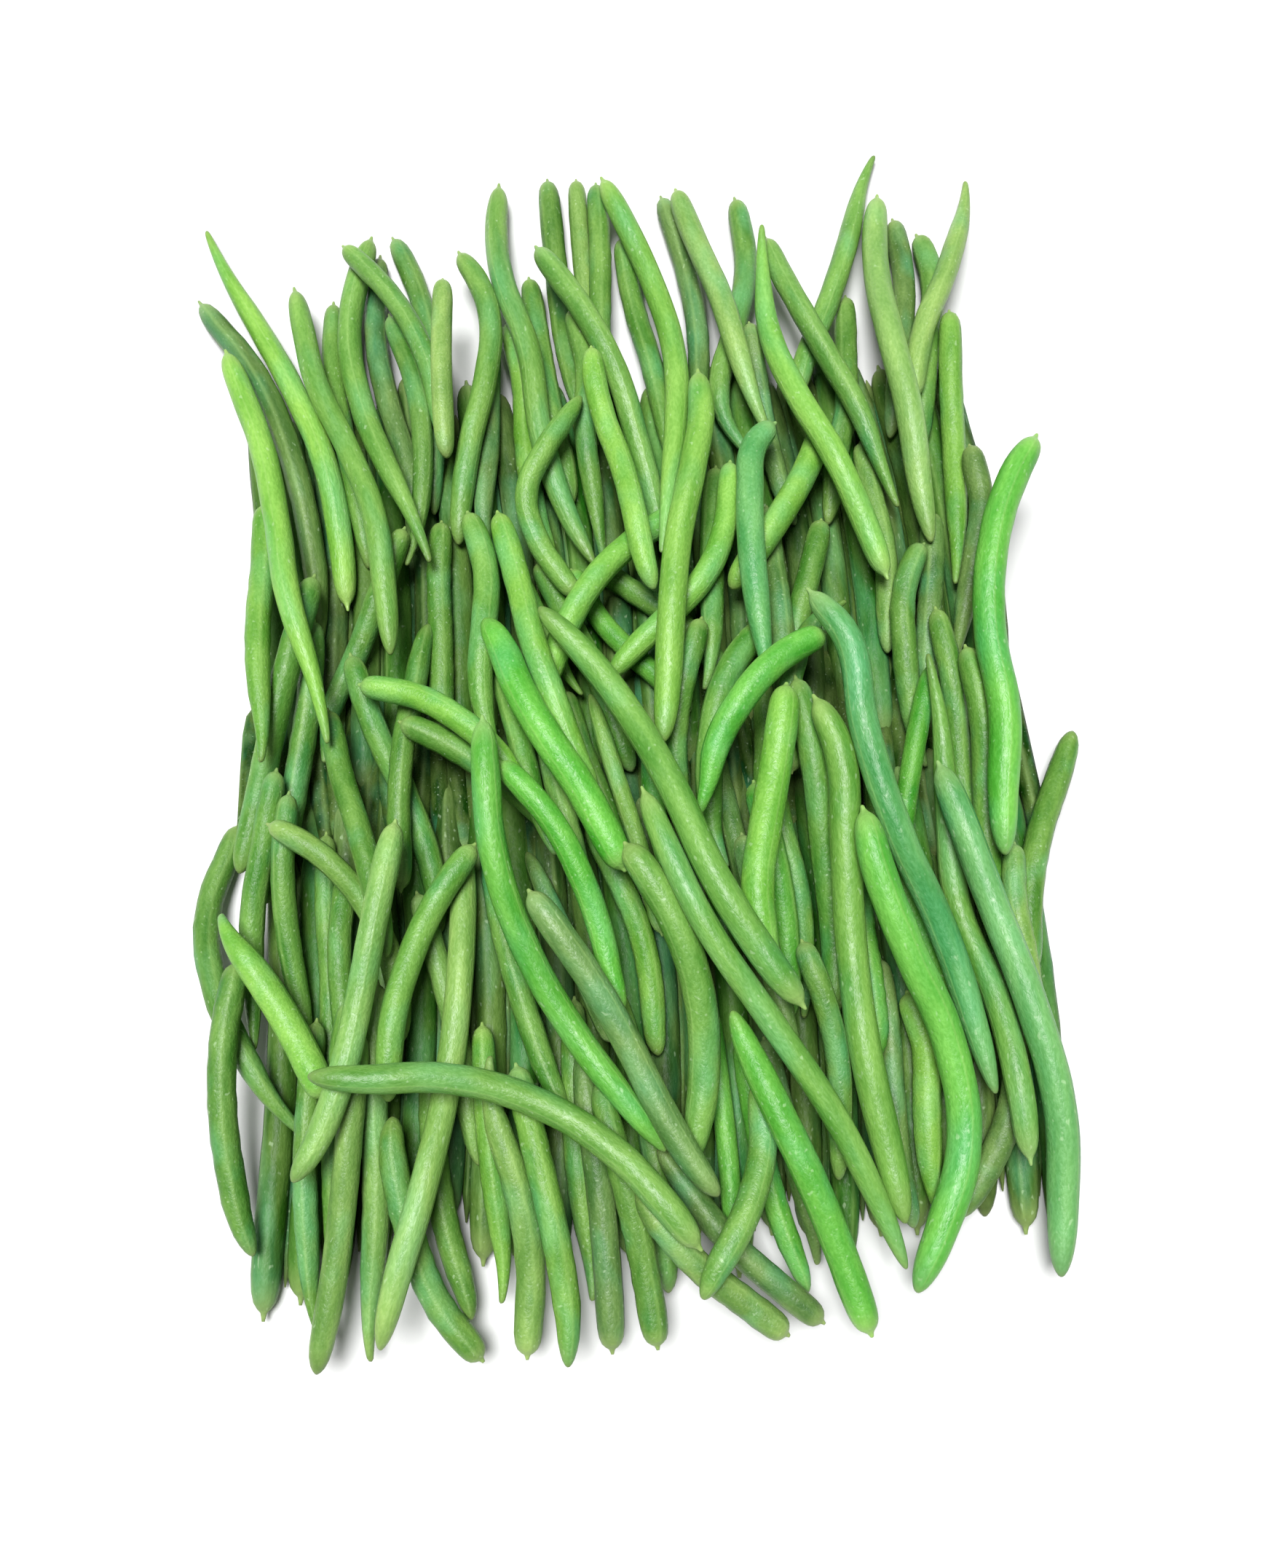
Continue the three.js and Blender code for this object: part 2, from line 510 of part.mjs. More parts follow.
// The two points at which two pods come closest, with the gap between their skins there.
function closestPoints(first, second) {
  let best = { gap: Infinity };
  for (const a of first.samples) {
    if (a.r < BRIDGE_MIN_RADIUS) continue;
    for (const b of second.samples) {
      if (b.r < BRIDGE_MIN_RADIUS) continue;
      const gap = Math.hypot(a.x - b.x, a.y - b.y, a.z - b.z) - a.r - b.r;
      if (gap < best.gap) best = { gap, a, b };
    }
  }
  return best;
}

// Joins the lower pods into one body for each region, with bridges over the smallest gaps.
// The pods of a region join first. One that touches none of them then goes to the region
// of the pod that it does touch.
function joinLowerPods(pods) {
  let bodies = pods.map((pod) => [pod]);
  const bodyOf = (pod) => bodies.find((body) => body.includes(pod));
  const links = [];
  pods.forEach((first, i) => {
    for (const second of pods.slice(i + 1)) {
      const link = { first, second, ...closestPoints(first, second) };
      if (link.gap < BRIDGE_MAX_GAP) links.push(link);
    }
  });
  links.sort((one, other) => one.gap - other.gap);
  const bridges = [];
  const join = (link, body, other) => {
    bodies = bodies.filter((each) => each !== other);
    body.push(...other);
    bridges.push(link);
  };
  for (const link of links) {
    const [body, other] = [bodyOf(link.first), bodyOf(link.second)];
    if (body !== other && link.first.region === link.second.region) join(link, body, other);
  }
  const kept = Object.keys(LOWER_PODS).map((region) => bodies
    .filter((body) => body[0].region === region)
    .reduce((largest, body) => (body.length > largest.length ? body : largest)));
  while (bodies.length > kept.length) {
    const isKept = (pod) => kept.includes(bodyOf(pod));
    const link = links.find(({ first, second }) => isKept(first) !== isKept(second));
    if (!link) throw new Error('a lower pod touches none of the others');
    const [near, far] = isKept(link.first) ? [link.first, link.second] : [link.second, link.first];
    join(link, bodyOf(near), bodyOf(far));
  }
  return kept.map((body) => {
    const skins = body.map(podSkin);
    for (const { first, a, b } of bridges) {
      if (body.includes(first)) skins.push(bridgeSkin(a, b));
    }
    const whole = skins.map(solid).reduce((sum, piece) => sum.add(piece));
    const { vertProperties, triVerts } = whole.getMesh();
    return { corners: Array.from(vertProperties), faces: Array.from(triVerts) };
  });
}

// ---- the bundle ---------------------------------------------------------------------

function podMesh(name, { corners, faces }, skin) {
  const geometry = new THREE.BufferGeometry();
  geometry.setAttribute('position', new THREE.Float32BufferAttribute(corners, 3));
  geometry.setIndex(faces);
  const material = new THREE.MeshStandardMaterial({
    color: SKIN_COLOURS[skin], roughness: SKIN_ROUGHNESS, metalness: 0,
  });
  const mesh = new THREE.Mesh(geometry, material);
  mesh.name = name;
  return mesh;
}

const bundle = new THREE.Group();
const { lower, top } = layHeap();
const names = Object.keys(LOWER_PODS);
joinLowerPods(lower).forEach((body, i) => {
  bundle.add(podMesh(`lower_pods_${names[i]}`, body, LEAF));
});
top.forEach((pod, i) => {
  bundle.add(podMesh(`pod_${String(i + 1).padStart(2, '0')}`, podSkin(pod), pod.skin));
});

export default bundle;
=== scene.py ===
# %% [markdown]
# # A heap of fresh green beans
#
# About two hundred whole green beans lie lengthwise over each other on a table. Botanically
# each one is a pod: a slim fleshy tube with a blunt stem end, a thin tail, and a row of small
# seeds that just shows as soft swellings. Nothing ties them, so the object is the heap
# itself.
#
# The plan of this lesson: find where every pod lies, model a few pods as carefully as one
# would model a single one, lay a copy of them along each path, and give all of them one skin
# material that varies from pod to pod. The first step loads the engineering model, which has
# the same pods as plain faceted bars. It fixes the size and place of everything.

# %% Load the frame
import math

import bpy
import numpy as np
from mathutils import Matrix, Vector


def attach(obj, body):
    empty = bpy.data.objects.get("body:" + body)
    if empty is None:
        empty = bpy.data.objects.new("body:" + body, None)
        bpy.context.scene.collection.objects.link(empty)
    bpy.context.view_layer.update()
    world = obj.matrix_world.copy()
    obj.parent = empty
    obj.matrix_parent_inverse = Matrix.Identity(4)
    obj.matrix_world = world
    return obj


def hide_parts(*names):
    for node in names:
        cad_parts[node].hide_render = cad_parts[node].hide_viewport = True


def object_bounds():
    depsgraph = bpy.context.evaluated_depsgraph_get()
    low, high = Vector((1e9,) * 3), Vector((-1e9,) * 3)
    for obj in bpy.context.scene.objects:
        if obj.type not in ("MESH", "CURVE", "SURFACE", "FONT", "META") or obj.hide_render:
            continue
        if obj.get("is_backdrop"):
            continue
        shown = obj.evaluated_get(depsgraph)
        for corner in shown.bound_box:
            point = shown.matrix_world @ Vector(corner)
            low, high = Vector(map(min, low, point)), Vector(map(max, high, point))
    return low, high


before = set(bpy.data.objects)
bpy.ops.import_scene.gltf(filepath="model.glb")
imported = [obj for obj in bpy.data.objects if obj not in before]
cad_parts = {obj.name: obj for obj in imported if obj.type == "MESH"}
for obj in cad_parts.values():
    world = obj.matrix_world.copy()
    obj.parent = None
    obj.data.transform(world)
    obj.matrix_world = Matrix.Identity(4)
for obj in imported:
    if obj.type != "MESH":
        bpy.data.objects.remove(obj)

cad_box = [list(corner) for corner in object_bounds()]
print("engineering model:", len(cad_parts), "solids, from", cad_box[0], "to", cad_box[1])

# %% [markdown]
# ## Camera and stage
#
# The heap is seen steeply from above, from close by, so the near end looks larger than the
# far end. A lens of 30 mm on a 36 mm sensor at 0.45 m gives that. The stage is a large pale
# floor under soft light: a dim even sky, and a sun as wide as a studio lamp, a little to the
# left. A sun rather than a lamp lights the whole floor alike, so that the heap stands on white
# from whichever side it is looked at. The sky is shown to the eye as white too, but the light
# that it gives is weaker, which keeps the gaps between the pods dark.
#
# The Standard view transform is used because it shows the greens at the strength they have in
# the material, where a filmic one would grey them.

# %% Camera
LENS = 29.76
SENSOR = 36
CAMERA_PLACE = (-0.0080, -0.1805, 0.4440)
CAMERA_DOWN = 72.5
CAMERA_ASIDE = -4.0

camera_data = bpy.data.cameras.new("camera")
camera_data.lens = LENS
camera_data.sensor_width = SENSOR
camera = bpy.data.objects.new("camera", camera_data)
camera.location = CAMERA_PLACE
camera.rotation_euler = (math.radians(90 - CAMERA_DOWN), 0, math.radians(CAMERA_ASIDE))
bpy.context.scene.collection.objects.link(camera)
bpy.context.scene.camera = camera
print("camera at", tuple(round(value, 3) for value in camera.location))

# %% Stage
FLOOR_COLOUR = (0.66, 0.66, 0.66, 1)
SKY_LIGHT = 0.24
SUN_LIGHT = 5.3
SUN_WIDTH = math.radians(28)
SUN_PLACE = (-0.14, 0.08, 1.15)
FLOOR_SIZE = 6
FLOOR_DROP = 0.0002
FLOOR_ROUGHNESS = 0.9


def deselect_all():
    bpy.ops.object.select_all(action="DESELECT")


deselect_all()
bpy.ops.mesh.primitive_plane_add(size=FLOOR_SIZE, location=(0, 0, -FLOOR_DROP))
floor = bpy.context.object
floor.name = "floor"
floor_paint = bpy.data.materials.new("floor_paint")
floor_paint.use_nodes = True
floor_shader = floor_paint.node_tree.nodes["Principled BSDF"]
floor_shader.inputs["Base Color"].default_value = FLOOR_COLOUR
floor_shader.inputs["Roughness"].default_value = FLOOR_ROUGHNESS
floor.data.materials.append(floor_paint)
floor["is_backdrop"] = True

world = bpy.data.worlds.new("sky")
world.use_nodes = True
sky_tree = world.node_tree
given_light = sky_tree.nodes["Background"]
given_light.inputs["Color"].default_value = (1, 1, 1, 1)
given_light.inputs["Strength"].default_value = SKY_LIGHT
seen_white = sky_tree.nodes.new("ShaderNodeBackground")
seen_white.inputs["Color"].default_value = (1, 1, 1, 1)
ray_kind = sky_tree.nodes.new("ShaderNodeLightPath")
choice = sky_tree.nodes.new("ShaderNodeMixShader")
sky_tree.links.new(ray_kind.outputs["Is Camera Ray"], choice.inputs[0])
sky_tree.links.new(given_light.outputs[0], choice.inputs[1])
sky_tree.links.new(seen_white.outputs[0], choice.inputs[2])
sky_tree.links.new(choice.outputs[0], sky_tree.nodes["World Output"].inputs["Surface"])
bpy.context.scene.world = world

sun_data = bpy.data.lights.new("soft_sun", "SUN")
sun_data.angle = SUN_WIDTH
sun_data.energy = SUN_LIGHT
sun = bpy.data.objects.new("soft_sun", sun_data)
sun.location = SUN_PLACE
sun.rotation_euler = (Vector((0, 0, 0)) - sun.location).to_track_quat("-Z", "Y").to_euler()
bpy.context.scene.collection.objects.link(sun)
bpy.context.scene.view_settings.view_transform = "Standard"
print("stage: a floor, a sky of", SKY_LIGHT, "and a sun of", SUN_LIGHT)

# %% [markdown]
# ## Where the pods lie
#
# A heap could be made by dropping pods in a physics simulation, but then nobody decides how
# it looks. Here each pod has a row of its own, which says how it lies seen from above. The
# points are joined by a smooth curve, from the stem end to the tail, in millimetres. The rows
# are in the order of laying: first those that are partly hidden, region by region, then the
# ones on top.
#
# The first word of a row is the tone of its skin: beans from one crop range from yellowish
# lime to a cool sea green.

# %% Rows of the pods
SKIN_TONES = {
    "lime": "78B043",
    "grass": "59AB3A",
    "leaf": "63983E",
    "pale": "80A856",
    "sage": "5F8446",
    "sea": "549D5C",
}
LIME, GRASS, LEAF, PALE, SAGE, SEA = SKIN_TONES
HEAP_MIDDLE = np.array([3.2, 39.3])
LOWER_PODS = {
    "back_left": [
        [SAGE, 9.0, -77, 231, -79, 194, -74, 159, -64, 115, -62, 90],
        [LEAF, 8.5, -101, 209, -100, 170, -92, 125, -86, 85],
        [SAGE, 9.5, -153, 214, -126, 170, -107, 112, -101, 52],
        [LEAF, 9.0, -77, 239, -68, 216, -62, 182, -60, 141, -63, 105],
        [LEAF, 8.0, -72, 193, -63, 153, -62, 120, -70, 80],
        [LEAF, 8.5, -66, 92, -76, 68, -86, 46, -95, 28, -99, 8],
        [LEAF, 9.0, -56, 100, -57, 70, -56, 42, -57, 10],
    ],
    "left": [
        [LEAF, 9.0, -100, 62, -102, 30, -108, -4, -116, -40],
        [LEAF, 9.5, -98, 75, -106, 45, -117, 5, -126, -30],
        [LEAF, 9.0, -96, 45, -88, 17, -79, -5, -71, -30, -68, -55],
        [LEAF, 8.0, -80, -40, -76, 0, -68, 35, -63, 58],
        [LEAF, 9.0, -76, 12, -64, 7, -49, -2, -35, -11, -15, -32],
        [LEAF, 7.5, -107, -15, -107, -45, -105, -75, -108, -110],
        [LEAF, 8.0, -99, -30, -101, -60, -99, -88, -95, -125],
        [LEAF, 8.5, -121, 5, -123, -20, -125, -50, -120, -88],
        [LEAF, 8.0, -116, -5, -117, -30, -114, -60, -105, -95],
        [PALE, 8.0, -121, -20, -106, -28, -90, -44, -80, -62, -76, -90],
        [LEAF, 8.5, -104, 25, -98, -3, -90, -28, -82, -65],
        [LIME, 9.0, -118, 110, -117, 75, -116, 40, -112, 5],
        [LEAF, 9.0, -129, -6, -138, -40, -127, -80, -104, -118],
    ],
    "front_left": [
        [LEAF, 9.0, -123, -60, -127, -98, -125, -128, -120, -152],
        [LEAF, 8.0, -108, -80, -112, -120, -112, -150, -111, -178],
        [LEAF, 7.0, -97, -75, -102, -110, -104, -145, -105, -167],
        [PALE, 9.0, -80, -70, -85, -105, -87, -140, -96, -184],
        [PALE, 8.0, -73, -40, -67, -62, -60, -95, -57, -130],
        [LEAF, 9.0, -58, -189, -71, -172, -80, -145, -85, -115],
        [LEAF, 8.5, -68, -100, -67, -135, -63, -159, -58, -175],
        [PALE, 8.5, -90, -85, -96, -127, -102, -160, -109, -186],
    ],
    "front": [
        [LEAF, 8.5, -22, -78, -24, -110, -24, -135, -20, -172],
        [LIME, 8.0, -55, -85, -54, -125, -52, -150, -50, -171],
        [SAGE, 9.0, -19, -188, -19, -160, -20, -135, -24, -95],
        [LEAF, 9.0, -5, -188, -7, -168, -11, -142, -19, -108],
        [LEAF, 8.0, -4, -75, 2, -110, 5, -150, 5, -172],
        [GRASS, 7.0, 20, -85, 25, -115, 28, -136, 31, -165],
        [SAGE, 8.5, 55, -180, 41, -169, 25, -155, 5, -128],
        [PALE, 9.0, 36, -189, 24, -179, 9, -166, -8, -144],
        [PALE, 9.5, -45, -188, -43, -148, -49, -125, -55, -98],
        [LIME, 9.0, -44, -100, -37, -136, -33, -158, -31, -190],
    ],
    "centre": [
        [PALE, 8.5, -30, 25, -27, -5, -24, -20, -16, -58],
        [LEAF, 8.5, -44, 55, -38, 25, -35, 5, -30, -35],
        [LEAF, 8.5, -22, 30, -12, -3, -4, -22, 8, -55],
        [LEAF, 9.0, -24, 82, -10, 50, -2, 32, 6, 0],
        [GRASS, 8.0, -12, 78, 1, 51, 9, 42, 28, 20],
        [LEAF, 8.5, -8, 76, 12, 61, 28, 48, 47, 22],
        [LEAF, 9.0, 40, 118, 36, 90, 33, 60, 30, 25],
        [SAGE, 8.0, 30, 20, 37, -12, 42, -35, 48, -65],
        [LIME, 8.5, -16, -20, -6, -45, 1, -70, 0, -100],
        [GRASS, 8.0, 8, 12, 7, -15, 10, -35, 20, -68],
        [LEAF, 8.5, 50, 32, 47, 0, 43, -25, 38, -62],
        [LEAF, 8.5, 38, 48, 29, 25, 24, 5, 24, -30],
        [PALE, 6.5, 6, -62, 1, -28, -4, -5, -10, 27],
        [LIME, 7.0, -32, 104, -29, 87, -23, 70, -16, 50, -8, 28],
        [SAGE, 7.0, -10, -96, -20, -65, -28, -42, -33, -27],
        [LEAF, 10.0, 50, 47, 39, 35, 30, 14, 26, -5, 27, -38],
        [LEAF, 8.5, -51, -20, -48, -50, -40, -85, -30, -118],
    ],
    "back": [
        [PALE, 8.0, -5, 263, -5, 230, -4, 200, 0, 153],
        [SAGE, 9.0, 32, 252, 37, 226, 40, 196, 37, 153, 31, 120],
        [LEAF, 9.0, 3, 258, 3, 233, 2, 209, 0, 182, -3, 141],
        [LEAF, 9.5, -7, 264, -6, 230, -5, 200, -2, 164, 3, 130],
        [LEAF, 9.0, -17, 216, -15, 194, -13, 170, -9, 135, -4, 105],
        [LEAF, 8.5, -8, 190, -4, 159, -6, 130, -4, 105, -2, 82],
        [LEAF, 9.0, 12, 232, 14, 206, 20, 172, 24, 139, 27, 108],
        [SAGE, 8.5, -33, 186, -35, 162, -38, 130, -42, 105, -43, 82],
        [LIME, 9.0, -36, 190, -29, 159, -27, 130, -24, 108, -17, 80],
    ],
    "back_right": [
        [LEAF, 9.5, 65, 249, 66, 224, 59, 188, 49, 164, 45, 144, 52, 118],
        [SAGE, 8.0, 58, 176, 63, 147, 67, 125, 76, 92],
        [LEAF, 9.0, 109, 193, 104, 164, 100, 141, 92, 118, 86, 90],
        [SAGE, 9.0, 134, 233, 135, 212, 132, 188, 126, 162, 118, 125],
        [LEAF, 9.5, 135, 225, 139, 207, 136, 187, 129, 157, 123, 120],
        [PALE, 8.5, 106, 125, 107, 105, 109, 85, 108, 62, 104, 38],
        [SAGE, 9.0, 123, 92, 118, 66, 113, 48, 107, 18],
        [LIME, 9.0, 136, 177, 132, 144, 130, 115, 127, 88, 124, 62],
        [LEAF, 9.0, 82, 92, 79, 78, 75, 65, 70, 45, 66, 15],
        [SAGE, 9.0, 62, 98, 60, 75, 59, 55, 56, 18],
        [SAGE, 9.0, 134, 116, 135, 92, 127, 62, 118, 33],
    ],
    "right": [
        [LEAF, 9.0, 148, 106, 140, 87, 134, 70, 129, 50, 127, 20],
        [LEAF, 8.0, 54, -8, 58, 28, 65, 43, 78, 56],
        [LEAF, 8.5, 112, 50, 114, 36, 117, 12, 117, -15, 119, -50],
        [LEAF, 9.0, 117, 76, 109, 66, 104, 50, 102, 28, 101, -5],
        [LEAF, 8.0, 92, 35, 94, 20, 95, -2, 93, -22, 90, -55],
        [LEAF, 9.0, 124, 33, 125, 12, 124, -8, 120, -32, 118, -65],
        [LEAF, 9.5, 57, 22, 60, 0, 61, -30, 63, -58, 61, -92],
        [LEAF, 8.0, 54, -5, 57, -28, 61, -50, 62, -90],
        [GRASS, 9.0, 50, -12, 54, -38, 56, -60, 55, -92],
        [GRASS, 7.5, 93, -42, 99, -12, 103, 5, 110, 28],
        [LEAF, 9.0, 127, -80, 132, -50, 138, -33, 147, -16, 158, 5],
        [PALE, 8.0, 129, -38, 128, -55, 131, -78, 135, -108],
    ],
    "front_right": [
        [SAGE, 8.5, 44, -30, 47, -52, 49, -70, 55, -105],
        [LEAF, 8.0, 50, -68, 58, -92, 61, -106, 60, -142],
        [SAGE, 8.0, 44, -95, 50, -126, 54, -145, 58, -166],
        [GRASS, 8.0, 34, -95, 38, -135, 42, -155, 49, -174],
        [SAGE, 7.5, 78, -72, 79, -105, 78, -130, 81, -158],
        [LIME, 9.5, 85, -84, 89, -106, 86, -126, 85, -154],
        [GRASS, 9.0, 78, -46, 79, -66, 81, -85, 82, -106],
        [SAGE, 9.0, 128, -112, 119, -131, 109, -144, 96, -156],
        [GRASS, 9.5, 88, -22, 99, -65, 106, -98, 105, -127],
    ],
}
TOP_PODS = [
    [LIME, 9.5, -92, 68, -97, 117, -124, 188, -154, 247],
    [LEAF, 9.0, -113, 211, -102, 160, -80, 102, -73, 42],
    [LEAF, 9.5, -85, 234, -94, 195, -89, 153, -73, 107, -60, 78],
    [LEAF, 8.5, -96, 222, -80, 201, -69, 180, -62, 159, -58, 125],
    [LIME, 9.5, -138, 180, -119, 118, -111, 66, -96, 10],
    [LEAF, 9.0, -47, 220, -37, 194, -38, 164, -47, 130, -56, 90],
    [PALE, 8.0, -56, 198, -57, 160, -57, 119],
    [LEAF, 9.5, -34, 261, -35, 219, -23, 169, -17, 120, -3, 77],
    [LEAF, 9.5, -20, 214, -5, 185, 9, 150, 16, 118, 22, 86],
    [LEAF, 8.5, -11, 62, -24, 86, -27, 100, -18, 121, -3, 142],
    [LIME, 9.5, 30, 97, 10, 83, -6, 66, -18, 46, -26, 22],
    [LIME, 9.0, 0, 162, 1, 141, 7, 115, 11, 88, 14, 58],
    [LIME, 9.5, 8, 254, 26, 200, 31, 147, 24, 105, 20, 72],
    [LEAF, 9.0, 80, 144, 86, 162, 98, 187, 113, 228, 125, 267],
    [PALE, 9.5, 40, 248, 46, 221, 55, 179, 60, 150, 67, 124],
    [LEAF, 9.0, 73, 217, 82, 180, 95, 143, 104, 114, 107, 92],
    [LIME, 10.0, 86, 128, 79, 112, 67, 91, 57, 77, 44, 62],
    [LIME, 9.5, 99, 60, 91, 92, 78, 126, 70, 170, 73, 216],
    [PALE, 9.0, 122, 134, 129, 162, 143, 192, 163, 243],
    [PALE, 10.5, 125, 242, 118, 201, 116, 164, 119, 115, 121, 76],
    [GRASS, 11.0, 157, 109, 142, 86, 130, 50, 129, 0, 121, -43],
    [LEAF, 9.5, -46, 98, -41, 75, -43, 48, -46, 25, -43, 0],
    [LIME, 9.0, -86, 31, -66, 25, -45, 9, -26, -14],
    [LIME, 9.5, -39, 96, -33, 73, -26, 40, -17, 12, -8, -15],
    [LIME, 9.0, 51, 112, 46, 83, 32, 57, 18, 46, 0, 31],
    [LIME, 10.0, 38, 149, 37, 123, 27, 87, 19, 40, 15, 2],
    [LIME, 11.0, 60, 17, 55, -4, 47, -32, 42, -52, 43, -82],
    [SEA, 10.0, 69, 124, 62, 118, 56, 95, 54, 55, 55, 20],
    [LEAF, 10.5, 64, 12, 70, -4, 70, -40, 69, -95, 77, -156],
    [GRASS, 10.0, 75, 33, 62, 27, 47, 14, 34, -5, 29, -27],
    [SEA, 10.0, 65, 47, 77, 26, 79, -3, 89, -45, 103, -78, 109, -120],
    [GRASS, 11.0, 75, -28, 80, -60, 96, -100, 97, -140, 76, -175],
    [LEAF, 9.0, 120, -142, 118, -95, 109, -50, 110, -5, 108, 29],
    [SEA, 10.5, 109, -10, 117, -45, 127, -95, 131, -140, 123, -175],
    [GRASS, 8.5, -37, -4, -22, -24, -11, -51, -5, -86],
    [GRASS, 11.0, 2, -42, -10, -15, -27, 16, -38, 51],
    [GRASS, 9.5, -41, 10, -39, -45, -27, -80, -11, -107, 4, -131],
    [LEAF, 10.5, -2, -35, 9, -53, 19, -80, 20, -105, 14, -137],
    [LEAF, 8.5, 5, -18, 19, -59, 43, -100, 61, -131, 76, -170],
    [LEAF, 10.0, 50, -93, 30, -60, 11, -9, -7, 28, -26, 49],
    [SAGE, 9.5, -33, -49, -10, -87, 5, -120, 18, -146],
    [LEAF, 9.0, 38, -110, 35, -134, 24, -155, 11, -171],
    [GRASS, 10.0, 62, -188, 52, -154, 36, -112, 28, -90],
    [LIME, 10.0, -96, -106, -106, -88, -120, -67, -136, -48],
    [PALE, 9.0, -56, -24, -58, -70, -68, -127, -86, -180],
    [LEAF, 9.0, -48, -27, -62, -45, -76, -76, -82, -108],
    [PALE, 9.0, -75, -20, -84, -65, -95, -110, -105, -132],
    [LEAF, 9.5, 14, -161, -8, -132, -45, -108, -100, -103],
]
print(sum(map(len, LOWER_PODS.values())), "lower pods and", len(TOP_PODS), "top pods")

# %% [markdown]
# Below all of them lies a bed that is hardly seen: pods side by side on the table, in six
# rafts. It fills the heap, so that no floor shines through. Its rows come from a rule with a
# little seeded chance, so that the ends don't line up. Seeded chance gives the same heap each
# time.

# %% Rows of the bed
BED_WIDTH = 10.4
BED_PITCH = 11.6
BED_LENGTH = 172
BED_BOW = 4
BED_SHIFT = 16
BED_SHORTER = 10
BED_SEED = 11
CHANCE_STEP = 16807
CHANCE_RANGE = 2147483647
BEDS = {
    "back_left": (-87, 86, -0.03, 8),
    "back": (6, 88, -0.03, 8),
    "back_right": (99, 86, -0.03, 8),
    "front_left": (-81, -79, 0.02, 8),
    "front": (6, -80, 0.02, 7),
    "front_right": (93, -78, 0.02, 8),
}


def seeded_chance(seed):
    """An endless row of numbers from 0 to 1, always the same for one seed."""
    state = seed
    while True:
        state = state * CHANCE_STEP % CHANCE_RANGE
        yield state / CHANCE_RANGE


def raft_rows(raft, chance):
    """The pods of one raft, side by side."""
    x, y, lean, count = raft
    rows = []
    for i in range(count):
        middle = x + (i - (count - 1) / 2) * BED_PITCH
        shift = y + (next(chance) - 0.5) * BED_SHIFT
        half = BED_LENGTH / 2 - next(chance) * BED_SHORTER
        points = [
            (middle - lean * half, shift - half),
            (middle + BED_BOW, shift),
            (middle + lean * half, shift + half),
        ]
        if next(chance) < 0.5:
            points.reverse()
        rows.append([LEAF, BED_WIDTH, *np.array(points).ravel()])
    return rows


# %% [markdown]
# ## From a plan to a heap
#
# Seen from above the rows are complete. The height is still missing, and it is found as a
# hand would find it, by laying one pod after another. A pod is a bar that bends only a
# little. So its height is worked out in three steps. The lowest height that each point of it
# may have follows from the table and from the pods that are there already. A gentle arch over
# the highest of those points lifts its neighbours with it. And dips between two arches are
# rounded off.
#
# Before that, the pod may slide a few millimetres to the side, if it can lie lower there.
# This is why pods nest in the grooves between others, as real ones do.

# %% Smooth curves through the points of a row
CURVE_STEPS = 16
POD_PROFILE = np.array([
    (0, 0.38), (0.035, 0.80), (0.13, 1.0), (0.55, 1.0),
    (0.74, 0.96), (0.87, 0.78), (0.955, 0.45), (1, 0.15),
])


def plan_curve(points):
    """A smooth curve through points, given densely."""
    first = 2 * points[0] - points[1]
    last = 2 * points[-1] - points[-2]
    ends = np.vstack([first, points, last])
    gaps = np.hypot(*np.diff(ends, axis=0).T)
    t = np.arange(CURVE_STEPS)[:, None] / CURVE_STEPS
    curve = []
    for k in range(1, len(ends) - 2):
        a, b, c, d = ends[k - 1:k + 3]
        before, here, after = gaps[k - 1:k + 2]
        start = (b - a) / before - (c - a) / (before + here) + (c - b) / here
        stop = (c - b) / here - (d - b) / (here + after) + (d - c) / after
        curve.append(
            (2 * t ** 3 - 3 * t ** 2 + 1) * b + (t ** 3 - 2 * t ** 2 + t) * start * here
            + (3 * t ** 2 - 2 * t ** 3) * c + (t ** 3 - t ** 2) * stop * here
        )
    return np.vstack([*curve, points[-1]])


def distances_along(points):
    steps = np.hypot(*np.diff(points, axis=0).T)
    return np.concatenate([[0], np.cumsum(steps)])


def points_at(places, points, distances):
    return np.column_stack([np.interp(places, distances, points[:, k]) for k in (0, 1)])


def pod_radius(share, width):
    return np.interp(share, POD_PROFILE[:, 0], POD_PROFILE[:, 1]) * width / 2


# %% Heights
TOUCH_GAP = 0.22
TABLE_TOUCH = 0.95
BEND_OVER = 100
BEND_UNDER = 130


def lowest_heights(points, radii, laid):
    """The lowest that each point may lie, over the table and the pods laid there."""
    lowest = radii * TABLE_TOUCH
    if len(laid):
        reach = radii[:, None] + laid[:, 3] + TOUCH_GAP
        room = reach ** 2 - (points[:, :1] - laid[:, 0]) ** 2 - (points[:, 1:] - laid[:, 1]) ** 2
        over = np.where(room > 0, laid[:, 2] + np.sqrt(np.maximum(room, 0)), 0)
        lowest = np.maximum(lowest, over.max(axis=1))
    return lowest


def drape(places, lowest):
    """A bar of limited bend over those heights."""
    squares = (places[:, None] - places) ** 2
    lifted = (lowest - squares / (2 * (BEND_OVER + BEND_UNDER))).max(axis=1)
    return (lifted + squares / (2 * BEND_UNDER)).min(axis=1)


def ring_heights(ring_places, places, lowest):
    """Heights at a few rings, with the straight stretches between them clear of everything."""
    heights = np.interp(ring_places, places, drape(places, lowest))
    missing = np.maximum(lowest - np.interp(places, ring_places, heights), 0)
    after = np.clip(np.searchsorted(ring_places, places), 1, len(ring_places) - 1)
    share = (places - ring_places[after - 1]) / (ring_places[after] - ring_places[after - 1])
    step = missing / ((1 - share) ** 2 + share ** 2)
    lift = np.zeros(len(ring_places))
    np.maximum.at(lift, after - 1, step * (1 - share))
    np.maximum.at(lift, after, step * share)
    return heights + lift


